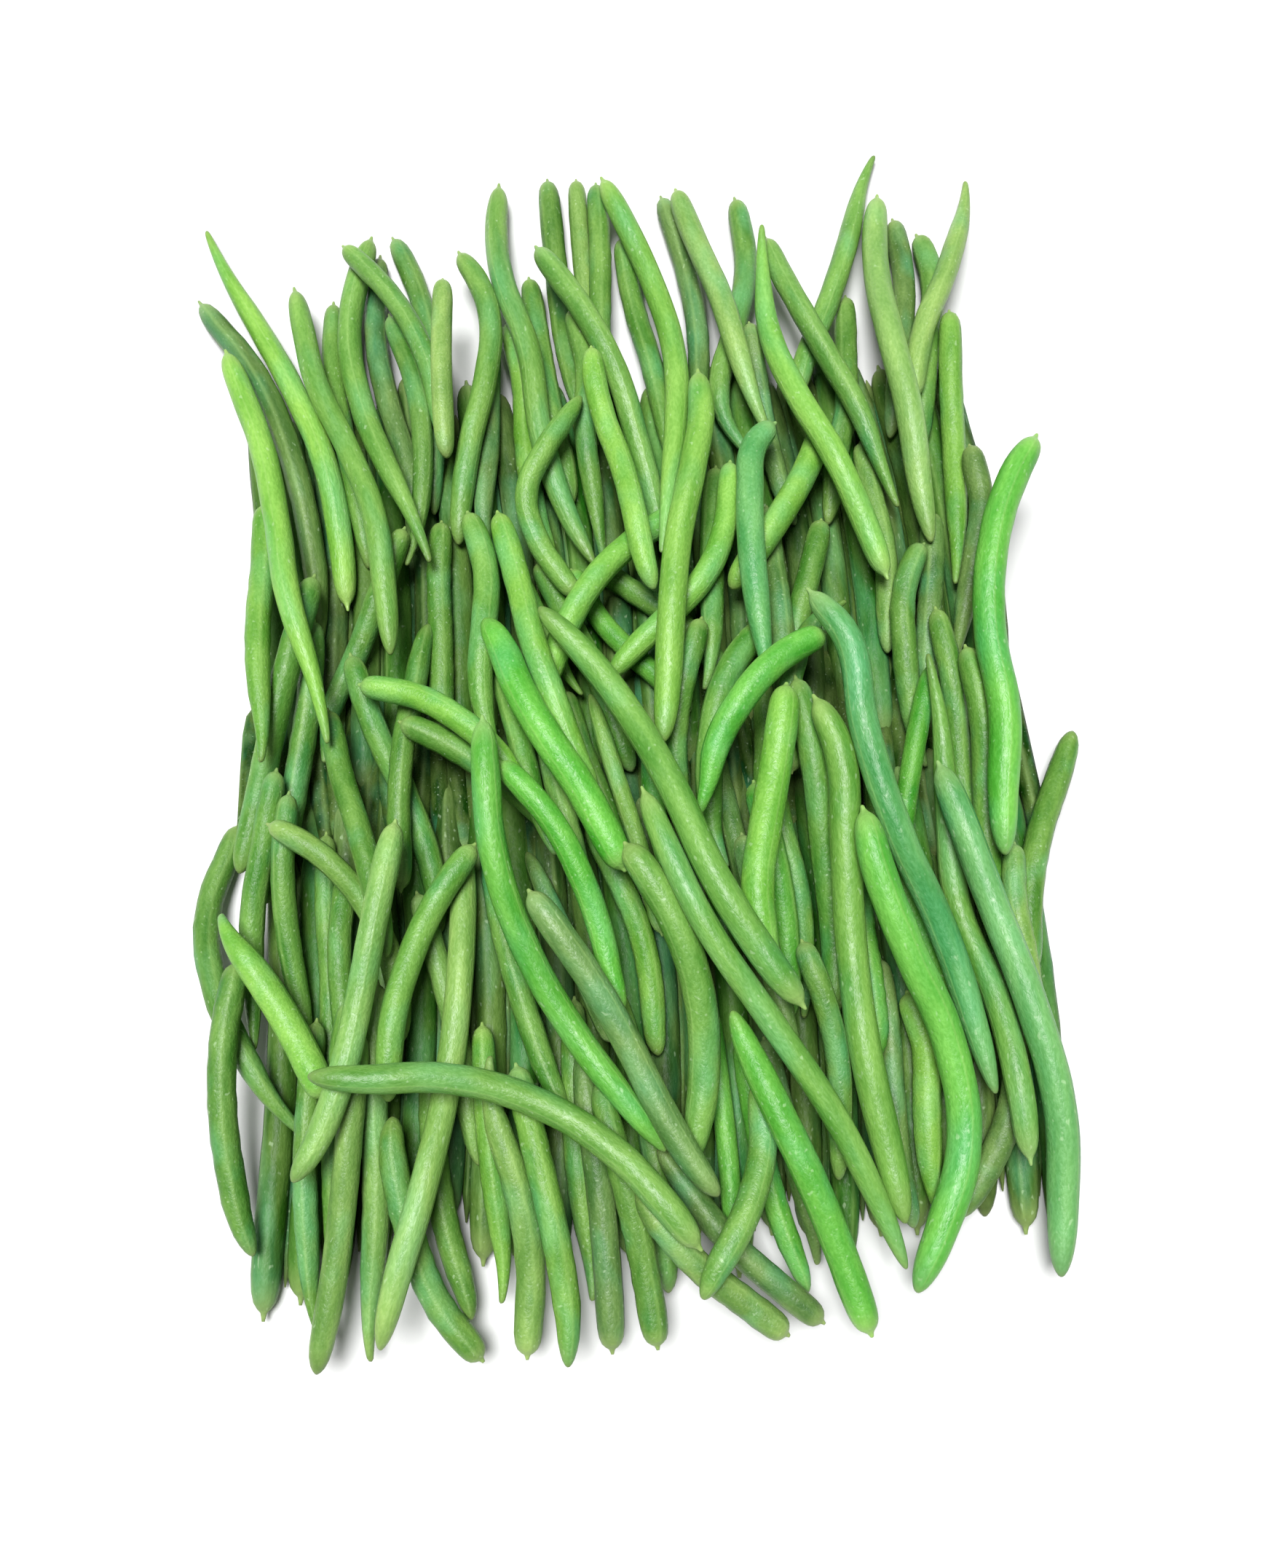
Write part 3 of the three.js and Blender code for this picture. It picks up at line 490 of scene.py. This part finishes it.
# %% Laying one pod
TOP_RINGS = np.array([0, 0.035, 0.13, 0.30, 0.50, 0.70, 0.87, 1])
LOW_RINGS = np.array([0, 0.08, 0.28, 0.52, 0.78, 1])
BED_RINGS = np.array([0, 0.09, 0.45, 0.83, 1])
SLIDE_TOP = 2
SLIDE_LOW = 5
SLIDE_COST = 0.05
SAMPLE_STEP = 1.5
# A pod that lies this far past twice the slide can't touch the one being laid.
NEAR_MARGIN = 12
SAME_COST = 1e-9


def place_pod(row, rings, slides, laid):
    """One way to lay a pod, with its two ends slid to the side."""
    plan = np.array(row[2:], float).reshape(-1, 2)
    span = plan[-1] - plan[0]
    aside = np.array([-span[1], span[0]]) / np.hypot(*span)
    share = distances_along(plan) / distances_along(plan)[-1]
    move = slides[0] * (1 - share) + slides[1] * share
    curve = plan_curve(plan + aside * move[:, None])
    curve_places = distances_along(curve)
    ring_points = points_at(rings * curve_places[-1], curve, curve_places)
    ring_places = distances_along(ring_points)
    count = math.ceil(ring_places[-1] / SAMPLE_STEP)
    places = ring_places[-1] * np.arange(count + 1) / count
    points = points_at(places, ring_points, ring_places)
    radii = pod_radius(np.interp(places, ring_places, rings), row[1])
    heights = ring_heights(ring_places, places, lowest_heights(points, radii, laid))
    samples = np.column_stack([points, np.interp(places, ring_places, heights), radii])
    path = np.column_stack([ring_points - HEAP_MIDDLE, heights]) / 1000
    return {"tone": row[0], "width": row[1] / 1000, "path": path, "samples": samples}


def lay_pod(row, rings, reach, laid):
    """The lowest of the ways to lay a pod."""
    plan = np.array(row[2:], float).reshape(-1, 2)
    margin = 2 * reach + NEAR_MARGIN
    over, under = laid[:, :2] > plan.min(0) - margin, laid[:, :2] < plan.max(0) + margin
    near = laid[np.all(over & under, axis=1)]
    steps = [0, -reach, -reach / 2, reach / 2, reach] if reach else [0]
    best, best_cost = None, math.inf
    for stem in steps:
        for tail in steps:
            pod = place_pod(row, rings, (stem, tail), near)
            cost = pod["samples"][:, 2].mean() + SLIDE_COST * (abs(stem) + abs(tail))
            if cost < best_cost - SAME_COST:
                best, best_cost = pod, cost
    return best


# %% Laying all of them
def lay_heap():
    """Every pod of the bed, of the lower rows and of the top rows, in that order."""
    laid = np.zeros((0, 4))
    chance = seeded_chance(BED_SEED)
    work = [(row, BED_RINGS, 0) for raft in BEDS.values() for row in raft_rows(raft, chance)]
    work += [(row, LOW_RINGS, SLIDE_LOW) for rows in LOWER_PODS.values() for row in rows]
    work += [(row, TOP_RINGS, SLIDE_TOP) for row in TOP_PODS]
    pods = []
    for row, rings, reach in work:
        pod = lay_pod(row, rings, reach, laid)
        laid = np.vstack([laid, pod["samples"]])
        pods.append(pod)
    return pods


pods = lay_heap()
lower_pods = pods[:-len(TOP_PODS)]
top_pods = pods[-len(TOP_PODS):]
heap_height = max((pod["samples"][:, 2] + pod["samples"][:, 3]).max() for pod in pods)
print(len(pods), "pods laid,", round(heap_height, 1), "mm high")

# %% [markdown]
# Between two round pods that lie side by side there is a furrow, and light would fall through
# it onto the pale table. In a real heap something slender always slips in there. So each
# furrow of the bed gets a thin young pod, a little shorter than the pods beside it. Short ones
# bridge the seam where the far rafts meet the near ones. These are only for the eye. Nothing
# rests on them, so the engineering model does without.

# %% Slender pods for the furrows
FURROW_WIDTH = 0.0052
SEAM_WIDTH = 0.0078
SEAM_Y = -0.036
SEAM_PODS = 46
SEAM_LEFT, SEAM_RIGHT = -0.134, 0.142
SEAM_HALF, SEAM_HALF_MORE = 0.028, 0.012
SEAM_LEAN = 0.2
SEAM_SHIFT = 0.016
SEAM_SEED = 5
# Two bed pods whose middles are nearer than this, front to back, lie in one raft.
SAME_RAFT = 0.04


def far_end_first(path):
    return path if path[0, 1] > path[-1, 1] else path[::-1]


furrow_pods = {}
bed_pods = lower_pods[:sum(raft[3] for raft in BEDS.values())]
for number, (pod, neighbour) in enumerate(zip(bed_pods, bed_pods[1:])):
    if abs(pod["path"][2, 1] - neighbour["path"][2, 1]) < SAME_RAFT:
        path = (far_end_first(pod["path"]) + far_end_first(neighbour["path"])) / 2
        path[0], path[-1] = path[:2].mean(axis=0), path[-2:].mean(axis=0)
        path[:, 2] = FURROW_WIDTH / 2
        furrow_pods[number] = {"tone": [LEAF, GRASS][number % 2], "width": FURROW_WIDTH, "path": path}
seam_pods = []
chance = seeded_chance(SEAM_SEED)
for x in np.linspace(SEAM_LEFT, SEAM_RIGHT, SEAM_PODS):
    half = SEAM_HALF + SEAM_HALF_MORE * next(chance)
    lean = SEAM_LEAN * next(chance) - SEAM_LEAN / 2
    shift = SEAM_SHIFT * next(chance) - SEAM_SHIFT / 2
    along = np.linspace(-half, half, 5) * (1 if next(chance) < 0.5 else -1)
    path = np.column_stack([x + lean * along, SEAM_Y + shift + along, np.full(5, SEAM_WIDTH / 2)])
    seam_pods.append({"tone": LEAF, "width": SEAM_WIDTH, "path": path})
print(len(furrow_pods), "pods in furrows and", len(seam_pods), "on the seam")

# %% [markdown]
# ## Modelling a pod
#
# A green bean is modelled lying straight along X, 120 mm long and 9 mm thick, and bent to its
# place later. It starts as a small disc, the end of the stalk stub. Its face is extruded ring
# by ring, and each new ring is scaled, as one would do it by hand: out to the blunt shoulder,
# along the body, and in again to the tail. About thirty rings are enough, because a
# subdivision surface rounds them off.
#
# Two things keep it from looking like a sausage. Over each seed the pod is a little wider from
# side to side, and between two seeds a little narrower. And the tail doesn't run out on the
# axis: it hooks to one side. Three shapes are modelled, with their seeds, hooks and tails in
# other places, so that copies that lie next to each other don't match. A pod's tail may be
# blunt, or drawn out long and thin.
#
# What lies deeper needs less. The lower pods and the bed get the same three shapes without the
# rounding, and the slender ones in the furrows a plain shape of a few dozen faces.

# %% Outline of a pod
POD_LENGTH = 0.120
POD_WIDTH = 0.009
# A rounded pod comes out a little thinner, so it is modelled thicker by this.
ROUNDING_LOSS = 1.035
# Lengths are shares of the pod; a seed swells it less upwards than to the sides.
SEED_LENGTH = 0.028
SEED_BASE = 0.45
SEED_HEIGHT = 0.4
# The hook grows with the square of the way past its start, which is 0.04 at the tip.
HOOK_START = 0.80
HOOK_SQUARE = 0.04
HOOK_ASIDE = 0.8
HOOK_DOWN = 0.3
SEAM_START, SEAM_STOP = 0.03, 0.985
# In degrees up or down from the side: the seam begins at its edge and is full a band farther on.
SEAM_EDGE, SEAM_BAND = 76, 14
STEM_END = [
    (0.000, 0.10), (0.008, 0.15), (0.015, 0.21), (0.022, 0.44), (0.033, 0.68),
    (0.052, 0.85), (0.082, 0.95), (0.130, 1.00), (0.550, 1.00),
]
TAILS = {
    "blunt": [
        (0.74, 1.00), (0.81, 0.99), (0.87, 0.95), (0.92, 0.87),
        (0.955, 0.74), (0.98, 0.52), (0.993, 0.30), (1, 0.10),
    ],
    "slim": [
        (0.74, 0.98), (0.81, 0.95), (0.87, 0.87), (0.92, 0.75),
        (0.955, 0.59), (0.98, 0.41), (0.993, 0.25), (1, 0.10),
    ],
    "long": [
        (0.70, 0.94), (0.76, 0.86), (0.82, 0.74), (0.87, 0.61),
        (0.92, 0.47), (0.97, 0.33), (0.992, 0.25), (1, 0.12),
    ],
}
FINE_RINGS = [
    0.008, 0.015, 0.022, 0.033, 0.052, 0.082, 0.130, 0.170, 0.210, 0.250, 0.290,
    0.330, 0.370, 0.410, 0.450, 0.490, 0.530, 0.570, 0.610, 0.650, 0.690, 0.730,
    0.770, 0.810, 0.850, 0.885, 0.920, 0.955, 0.980, 0.993, 1.000,
]
PLAIN_RINGS = [0.022, 0.052, 0.130, 0.360, 0.600, 0.810, 0.930, 1.000]
POD_SHAPES = {
    "even": {
        "seeds": [0.17, 0.28, 0.385, 0.49, 0.60, 0.705, 0.80],
        "swell": 0.060, "hook": 0.0020, "tail": "slim",
    },
    "full": {
        "seeds": [0.15, 0.25, 0.36, 0.455, 0.545, 0.65, 0.745, 0.83],
        "swell": 0.075, "hook": -0.0022, "tail": "blunt",
    },
    "slack": {
        "seeds": [0.19, 0.33, 0.43, 0.56, 0.66, 0.76],
        "swell": 0.065, "hook": 0.0034, "tail": "long",
    },
    "plain": {"seeds": [], "swell": 0, "hook": 0, "tail": "slim"},
}


def outline_at(share, tail):
    """The pod's thickness there, as a share of its greatest one."""
    shares, radii = zip(*STEM_END, *TAILS[tail])
    return float(np.interp(share, shares, radii))


def swelling_at(share, seeds, height):
    """How much the pod is widened there by the seeds inside it."""
    if not seeds or not 0.1 < share < 0.9:
        return 1
    swell = sum(math.exp(-(((share - seed) / SEED_LENGTH) ** 2)) for seed in seeds)
    return 1 + height * (swell - SEED_BASE)


def axis_at(share, hook):
    """The middle of the pod there. Its last fifth hooks to the side and a little down."""
    bend = hook * np.maximum(share - HOOK_START, 0) ** 2 / HOOK_SQUARE
    return share * POD_LENGTH, bend * HOOK_ASIDE, -abs(bend) * HOOK_DOWN


# %% Values that the skin needs
def store_place(mesh, hook):
    """Stores on every point of a straight pod its place, its share of the length and its seam."""
    place = np.empty(len(mesh.vertices) * 3)
    mesh.vertices.foreach_get("co", place)
    place = place.reshape(-1, 3)
    share = place[:, 0] / POD_LENGTH
    _, middle_y, middle_z = axis_at(share, hook)
    height = np.degrees(np.arctan2(np.abs(place[:, 2] - middle_z), np.abs(place[:, 1] - middle_y)))
    has_seam = (share > SEAM_START) & (share < SEAM_STOP)
    seam = np.where(has_seam, np.clip((height - SEAM_EDGE) / SEAM_BAND, 0, 1), 0)
    for name, kind, key, values in [
        ("pod_place", "FLOAT_VECTOR", "vector", place.ravel()),
        ("pod_share", "FLOAT", "value", share),
        ("pod_seam", "FLOAT", "value", seam),
    ]:
        mesh.attributes.new(name, kind, "POINT").data.foreach_set(key, values)


# %% A pod ring by ring
def model_pod(name, shape, sides, rings, rounded):
    """A straight pod along X, with its stem end at the origin."""
    seeds, tail = shape["seeds"], shape["tail"]
    radius = POD_WIDTH / 2 * (ROUNDING_LOSS if rounded else 1)
    deselect_all()
    bpy.ops.mesh.primitive_circle_add(
        vertices=sides, radius=radius * outline_at(0, tail), fill_type="NGON", rotation=(0, math.pi / 2, 0),
    )
    pod = bpy.context.object
    pod.name = name
    bpy.ops.object.transform_apply(location=True, rotation=True, scale=True)
    bpy.ops.object.mode_set(mode="EDIT")
    bpy.ops.mesh.select_mode(type="FACE")
    bpy.ops.mesh.select_all(action="SELECT")
    place, across, upward = Vector((0, 0, 0)), outline_at(0, tail), outline_at(0, tail)
    for share in rings:
        centre = Vector(axis_at(share, shape["hook"]))
        bulge = swelling_at(share, seeds, shape["swell"])
        wide = outline_at(share, tail) * bulge
        high = outline_at(share, tail) * (1 + (bulge - 1) * SEED_HEIGHT)
        bpy.ops.mesh.extrude_region_move(TRANSFORM_OT_translate={"value": centre - place})
        bpy.ops.transform.resize(value=(1, wide / across, high / upward), center_override=centre)
        place, across, upward = centre, wide, high
    bpy.ops.mesh.select_all(action="SELECT")
    bpy.ops.mesh.normals_make_consistent(inside=False)
    bpy.ops.object.mode_set(mode="OBJECT")
    if rounded:
        rounding = pod.modifiers.new("rounding", "SUBSURF")
        rounding.levels = rounding.render_levels = 1
        bpy.ops.object.modifier_apply(modifier=rounding.name)
    bpy.ops.object.shade_smooth()
    store_place(pod.data, shape["hook"])
    print(name, "has", len(pod.data.polygons), "faces and is", round(pod.dimensions.x * 1000, 1), "mm long")
    return pod


top_models, low_models = {}, {}
for key in ("even", "full", "slack"):
    top_models[key] = model_pod(f"top_{key}", POD_SHAPES[key], 12, FINE_RINGS, True)
    low_models[key] = model_pod(f"low_{key}", POD_SHAPES[key], 12, FINE_RINGS, False)
plain_model = model_pod("plain", POD_SHAPES["plain"], 8, PLAIN_RINGS, False)

# %% [markdown]
# ## Skin
#
# The skin of a fresh bean is smooth, with the satin gloss of thin wax. Its colour isn't even:
# it is clouded along the pod in long soft patches, yellower here and bluer there, and finely
# stippled, and sparse pale specks of wax are painted on as small glints. It is a little paler at
# the stem end and duller at the tip of the tail. The gloss is broken by the same stipple. Along
# the two edges where the halves of the pod meet runs a seam, a faint raised line.
#
# All of that has to follow the pod, also where it bends. So every point of a pod carries four
# values of its own: where it was on the straight pod, how far along it is, how near it is to
# the seam, and the tone of the whole pod with the shade painted into its layer. The pattern is
# made from those.

# %% Node helpers
def add_node(tree, kind, **settings):
    node = tree.nodes.new(kind)
    for key, value in settings.items():
        setattr(node, key, value)
    return node


def set_inputs(node, **values):
    for key, value in values.items():
        node.inputs[key.replace("_", " ")].default_value = value
    return node


def noise(tree, place, scale, stretch, detail, low, high):
    """Noise from 0 to 1 over place, longer along the pod by stretch; low and high cut it off."""
    mapping = add_node(tree, "ShaderNodeMapping")
    mapping.inputs["Scale"].default_value = (1 / stretch, 1, 1)
    texture = set_inputs(add_node(tree, "ShaderNodeTexNoise"), Scale=scale, Detail=detail, Roughness=0.55)
    widen = add_node(tree, "ShaderNodeMapRange")
    set_inputs(widen, From_Min=low, From_Max=high, To_Min=0.0, To_Max=1.0)
    tree.links.new(place, mapping.inputs["Vector"])
    tree.links.new(mapping.outputs["Vector"], texture.inputs["Vector"])
    tree.links.new(texture.outputs["Fac"], widen.inputs["Value"])
    return widen.outputs["Result"]


def mix_colours(tree, share, low, high, blend="MIX"):
    """Mixes from low to high by share; each is a socket or a fixed value."""
    node = add_node(tree, "ShaderNodeMix", data_type="RGBA", blend_type=blend)
    for value, target in [(share, node.inputs[0]), (low, node.inputs[6]), (high, node.inputs[7])]:
        if isinstance(value, bpy.types.NodeSocket):
            tree.links.new(value, target)
        else:
            target.default_value = value
    return node.outputs[2]


def ramp(tree, value, stops):
    """A ramp of greys over value."""
    node = add_node(tree, "ShaderNodeValToRGB")
    while len(node.color_ramp.elements) < len(stops):
        node.color_ramp.elements.new(0.5)
    for element, (place, grey) in zip(node.color_ramp.elements, stops):
        element.position = place
        element.color = (grey, grey, grey, 1)
    tree.links.new(value, node.inputs["Fac"])
    return node.outputs["Color"]


# %% Material: bean skin
SKIN_GLOSS = 0.5
SEAM_RAISED = 3.4
SKIN_IOR = 1.42
SKIN_ROUGHNESS = (0.34, 0.50)
RELIEF = {"Strength": 0.30, "Distance": 0.0003}


def make_bean_skin():
    material = bpy.data.materials.new("bean_skin")
    material.use_nodes = True
    tree = material.node_tree
    shader = tree.nodes["Principled BSDF"]
    pod_tone_and_shade = add_node(tree, "ShaderNodeAttribute", attribute_name="pod_tone_and_shade")
    # The stored tone carries the shade painted into the pod's layer, and its alpha the gloss left under
    # that shade.
    tone = pod_tone_and_shade.outputs["Color"]
    place = add_node(tree, "ShaderNodeAttribute", attribute_name="pod_place").outputs["Vector"]
    along = add_node(tree, "ShaderNodeAttribute", attribute_name="pod_share").outputs["Fac"]
    near_seam = add_node(tree, "ShaderNodeAttribute", attribute_name="pod_seam").outputs["Fac"]
    clouds = noise(tree, place, 170, 4.5, 3, 0.34, 0.66)
    cool_patches = noise(tree, place, 60, 2.0, 2, 0.50, 0.72)
    stipple = noise(tree, place, 1100, 1.6, 2, 0.35, 0.65)
    # Painted highlight: sparse pale specks, flecks of wax painted as small glints.
    painted_glints = noise(tree, place, 800, 1.3, 0, 0.74, 0.84)

    darker = mix_colours(tree, 1.0, tone, (0.66, 0.76, 0.62, 1), "MULTIPLY")
    yellower = mix_colours(tree, 0.16, tone, (0.50, 0.66, 0.20, 1))
    colour = mix_colours(tree, clouds, darker, yellower)
    cooler = mix_colours(tree, 0.30, colour, (0.10, 0.45, 0.24, 1))
    colour = mix_colours(tree, cool_patches, colour, cooler)
    freckled = mix_colours(tree, 1.0, colour, (0.80, 0.86, 0.76, 1), "MULTIPLY")
    colour = mix_colours(tree, stipple, freckled, colour)
    # Painted highlight: the glint specks are mixed towards a pale waxy green.
    wax_glint_colour = mix_colours(tree, 0.22, colour, (0.60, 0.76, 0.50, 1))
    colour = mix_colours(tree, painted_glints, colour, wax_glint_colour)
    seam = ramp(tree, near_seam, [(0.0, 0.0), (0.55, 0.0), (0.95, 0.18)])
    colour = mix_colours(tree, seam, colour, (0.34, 0.52, 0.17, 1))
    stem = ramp(tree, along, [(0.0, 0.55), (0.022, 0.35), (0.08, 0.0)])
    colour = mix_colours(tree, stem, colour, (0.36, 0.46, 0.16, 1))
    tail = ramp(tree, along, [(0.92, 0.0), (0.985, 0.30), (1.0, 0.65)])
    colour = mix_colours(tree, tail, colour, (0.17, 0.21, 0.07, 1))
    tree.links.new(colour, shader.inputs["Base Color"])

    gloss = add_node(tree, "ShaderNodeMapRange")
    set_inputs(gloss, From_Min=0.0, From_Max=1.0, To_Min=SKIN_ROUGHNESS[0], To_Max=SKIN_ROUGHNESS[1])
    tree.links.new(stipple, gloss.inputs["Value"])
    tree.links.new(gloss.outputs["Result"], shader.inputs["Roughness"])
    # Painted shade: the gloss is dimmed by the fourth value of the tone, the less the deeper the pod's
    # layer lies.
    gloss_under_painted_shade = add_node(tree, "ShaderNodeMath", operation="MULTIPLY")
    tree.links.new(pod_tone_and_shade.outputs["Alpha"], gloss_under_painted_shade.inputs[0])
    gloss_under_painted_shade.inputs[1].default_value = SKIN_GLOSS
    tree.links.new(gloss_under_painted_shade.outputs["Value"], shader.inputs["Specular IOR Level"])
    raised = add_node(tree, "ShaderNodeMath", operation="MULTIPLY_ADD")
    tree.links.new(seam, raised.inputs[0])
    raised.inputs[1].default_value = SEAM_RAISED
    tree.links.new(stipple, raised.inputs[2])
    relief = set_inputs(add_node(tree, "ShaderNodeBump"), **RELIEF)
    tree.links.new(raised.outputs["Value"], relief.inputs["Height"])
    tree.links.new(relief.outputs["Normal"], shader.inputs["Normal"])
    set_inputs(shader, IOR=SKIN_IOR)
    return material


bean_skin = make_bean_skin()
for pod in [*top_models.values(), *low_models.values(), plain_model]:
    pod.data.materials.append(bean_skin)
print("material", bean_skin.name, "with", len(bean_skin.node_tree.nodes), "nodes")

# %% [markdown]
# ## A copy on each path
#
# Each copy gets its own mesh. It is turned about its length by chance, so that hooks and seed
# lines point all ways. Then a Curve modifier bends it. Its path is a Bézier curve through the
# few points that the laying gave, and Stretch makes the pod as long as the path. The radius
# of the path's points sets how thick the pod gets. Once the modifier is applied, the path has
# done its work and is removed.
#
# Where a pod lies on the table its underside is pressed flat, as a fleshy pod does settle. The
# tone, with the shade painted into the pod's layer, is stored on the copy, and its pattern is
# shifted, so that no two pods are clouded alike.
#
# A deep heap shades its own inside. This one is shallow, and light comes in from all sides, so
# shade is painted into the deeper layers: they are given a darker and fuller green with less
# gloss, and the slender pods in the furrows the darkest. That keeps the top pods apart from what
# lies under them.

# %% Tone of one pod
# Pods are a fuller green near this line across the heap, and more muted towards the front and back.
GREENEST_Y = -0.038
GREEN_REACH = 0.075
GREEN_CAST = 0.20
RED_CAST, BLUE_CAST = 1.05, 1.10
LIGHT_RANGE = (0.90, 1.08)
WARM_RANGE = (-0.06, 0.06)
# Painted shade: the deeper a layer lies, the darker and fuller green its pods and the less gloss they keep.
LAYER_LIGHT = {"top": 1.01, "lower": 0.73, "bed": 0.33, "furrow": 0.15}
PAINTED_SHADE_TINT = np.array([1.25, 1.0, 1.4])


def tone_and_shade_of(pod, layer, dice):
    """Red, green and blue of its skin, and as the fourth value how much of its gloss is left.

    Each pod is a little lighter or darker than its tone, a fuller green near the middle, and shade is
    painted into deeper layers.
    """
    code = SKIN_TONES[pod["tone"]]
    colour = np.array([int(code[k:k + 2], 16) / 255 for k in (0, 2, 4)])
    colour = np.where(colour > 0.04045, ((colour + 0.055) / 1.055) ** 2.4, colour / 12.92)
    light, warm = dice.uniform(*LIGHT_RANGE), dice.uniform(*WARM_RANGE)
    greener_share = math.exp(-(((pod["path"][:, 1].mean() - GREENEST_Y) / GREEN_REACH) ** 2))
    # Painted shade of the pod's layer, a fuller green as it gets darker.
    painted_shade = LAYER_LIGHT[layer] ** PAINTED_SHADE_TINT
    red, blue = RED_CAST + warm, BLUE_CAST - warm
    cast = np.array([red - GREEN_CAST * greener_share, 1, blue - GREEN_CAST * greener_share])
    return [*colour * light * painted_shade * cast, LAYER_LIGHT[layer]]


# %% Copying and bending
def store_tone_and_shade(mesh, tone, shift):
    """Stores the tone of a pod on its points, and shifts its pattern, so that no two are alike."""
    # The tone holds the painted shade of the pod's layer.
    stored = mesh.attributes.new("pod_tone_and_shade", "FLOAT_COLOR", "POINT")
    stored.data.foreach_set("color", np.tile(tone, len(mesh.vertices)))
    place = np.empty(len(mesh.vertices) * 3)
    mesh.attributes["pod_place"].data.foreach_get("vector", place)
    mesh.attributes["pod_place"].data.foreach_set("vector", (place.reshape(-1, 3) + shift).ravel())


def make_path(points, width):
    """A Bézier path through points, whose radius makes a model pod as thick as width."""
    path_data = bpy.data.curves.new("pod_path", "CURVE")
    path_data.dimensions = "3D"
    path_data.twist_mode = "Z_UP"
    path_data.use_stretch = True
    path_data.use_deform_bounds = True
    path_data.use_radius = True
    path_data.resolution_u = 12
    spline = path_data.splines.new("BEZIER")
    spline.bezier_points.add(len(points) - 1)
    for point, place in zip(spline.bezier_points, points):
        point.co = place
        point.radius = width / POD_WIDTH
        point.handle_left_type = point.handle_right_type = "AUTO"
    path = bpy.data.objects.new("pod_path", path_data)
    bpy.context.scene.collection.objects.link(path)
    return path


def press_on_table(mesh):
    """Whatever is under the table's top is moved up to it."""
    place = np.empty(len(mesh.vertices) * 3)
    mesh.vertices.foreach_get("co", place)
    place[2::3] = np.maximum(place[2::3], 0)
    mesh.vertices.foreach_set("co", place)
    mesh.update()


def lay_copy(name, model, pod, layer, dice):
    """A copy of one of the model pods, bent to where the pod lies."""
    copy = bpy.data.objects.new(name, model.data.copy())
    bpy.context.scene.collection.objects.link(copy)
    store_tone_and_shade(copy.data, tone_and_shade_of(pod, layer, dice), dice.uniform(0, 1, 3))
    copy.data.transform(Matrix.Rotation(dice.uniform(-1, 1) * math.pi, 4, "X"))
    path = make_path(pod["path"], pod["width"])
    bend = copy.modifiers.new("bend", "CURVE")
    bend.object = path
    bend.deform_axis = "POS_X"
    bpy.context.view_layer.objects.active = copy
    bpy.ops.object.modifier_apply(modifier=bend.name)
    bpy.data.objects.remove(path)
    press_on_table(copy.data)
    return copy


# %% [markdown]
# The pods on top stay pieces of their own, and each stands for its solid in the engineering
# model. Long thin tails show against the table at the far end of the heap, so those pods are
# named. All others get one of the fuller shapes by chance.

# %% Top pods
LOOKS_SEED = 7
LONG_TAILED = {1, 5, 14, 18, 19}
FULL_TAILED = {2, 6, 17, 24, 32, 34, 36, 41, 48}
dice = np.random.default_rng(LOOKS_SEED)
for number, pod in enumerate(top_pods, 1):
    shape = ["even", "full", "even", "full", "slack"][dice.integers(5)]
    shape = "slack" if number in LONG_TAILED else "full" if number in FULL_TAILED else shape
    copy = lay_copy(f"bean_{number:02d}", top_models[shape], pod, "top", dice)
    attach(copy, "root")
    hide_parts(f"pod_{number:02d}")
print(len(top_pods), "pods on top")

# %% [markdown]
# The lower pods are joined region by region, as their solids are. Which solid a pod belongs to
# is found by asking in which one its middle lies. A furrow's pod goes with its neighbour.

# %% Lower pods
SIDE_FROM = 0.05


def solid_around(pod, nodes):
    """The name of the node that the middle of the pod lies in."""
    middle = Vector((pod["path"][2] + pod["path"][3]) / 2)
    for name in nodes:
        found, place, normal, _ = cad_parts[name].closest_point_on_mesh(middle)
        if found and (place - middle).dot(normal) > 0:
            return name
    raise ValueError(f"no lower solid holds {middle}")


def join_pods(name, copies):
    deselect_all()
    for copy in copies:
        copy.select_set(True)
    bpy.context.view_layer.objects.active = copies[0]
    bpy.ops.object.join()
    copies[0].name = name
    return copies[0]


lower_nodes = sorted(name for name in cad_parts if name.startswith("lower_pods_"))
members = {name: [] for name in lower_nodes}
for number, pod in enumerate(lower_pods):
    members_here = members[solid_around(pod, lower_nodes)]
    if number < len(bed_pods):
        pod["tone"] = [LEAF, GRASS, SAGE][number % 3]
    model = low_models[["even", "full", "slack"][dice.integers(3)]]
    layer = "bed" if number < len(bed_pods) else "lower"
    members_here.append(lay_copy(f"low_{number:03d}", model, pod, layer, dice))
    if number in furrow_pods:
        slender = furrow_pods[number]
        members_here.append(lay_copy(f"furrow_{number:03d}", plain_model, slender, "furrow", dice))
for number, pod in enumerate(seam_pods):
    x = pod["path"][2, 0]
    side = "left" if x < -SIDE_FROM else "right" if x > SIDE_FROM else "centre"
    members["lower_pods_" + side].append(lay_copy(f"seam_{number:02d}", plain_model, pod, "furrow", dice))
for node, copies in members.items():
    count = len(copies)
    region = join_pods(node.replace("lower_pods", "beans"), copies)
    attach(region, "root")
    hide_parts(node)
    print(region.name, "holds", count, "pods,", len(region.data.polygons), "faces")

# %% [markdown]
# ## Finish
#
# The model pods have been copied and can go. At the end the size of what is shown is written
# down next to the size of the engineering model, to see that dressing it hasn't made it grow.

# %% Sizes
for pod in [*top_models.values(), *low_models.values(), plain_model]:
    bpy.data.objects.remove(pod)
bpy.context.view_layer.update()
shown_box = [list(corner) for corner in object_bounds()]
for axis, low, high, shown_low, shown_high in zip("xyz", *cad_box, *shown_box):
    print(axis, "model", round(low, 4), round(high, 4), "shown", round(shown_low, 4), round(shown_high, 4))
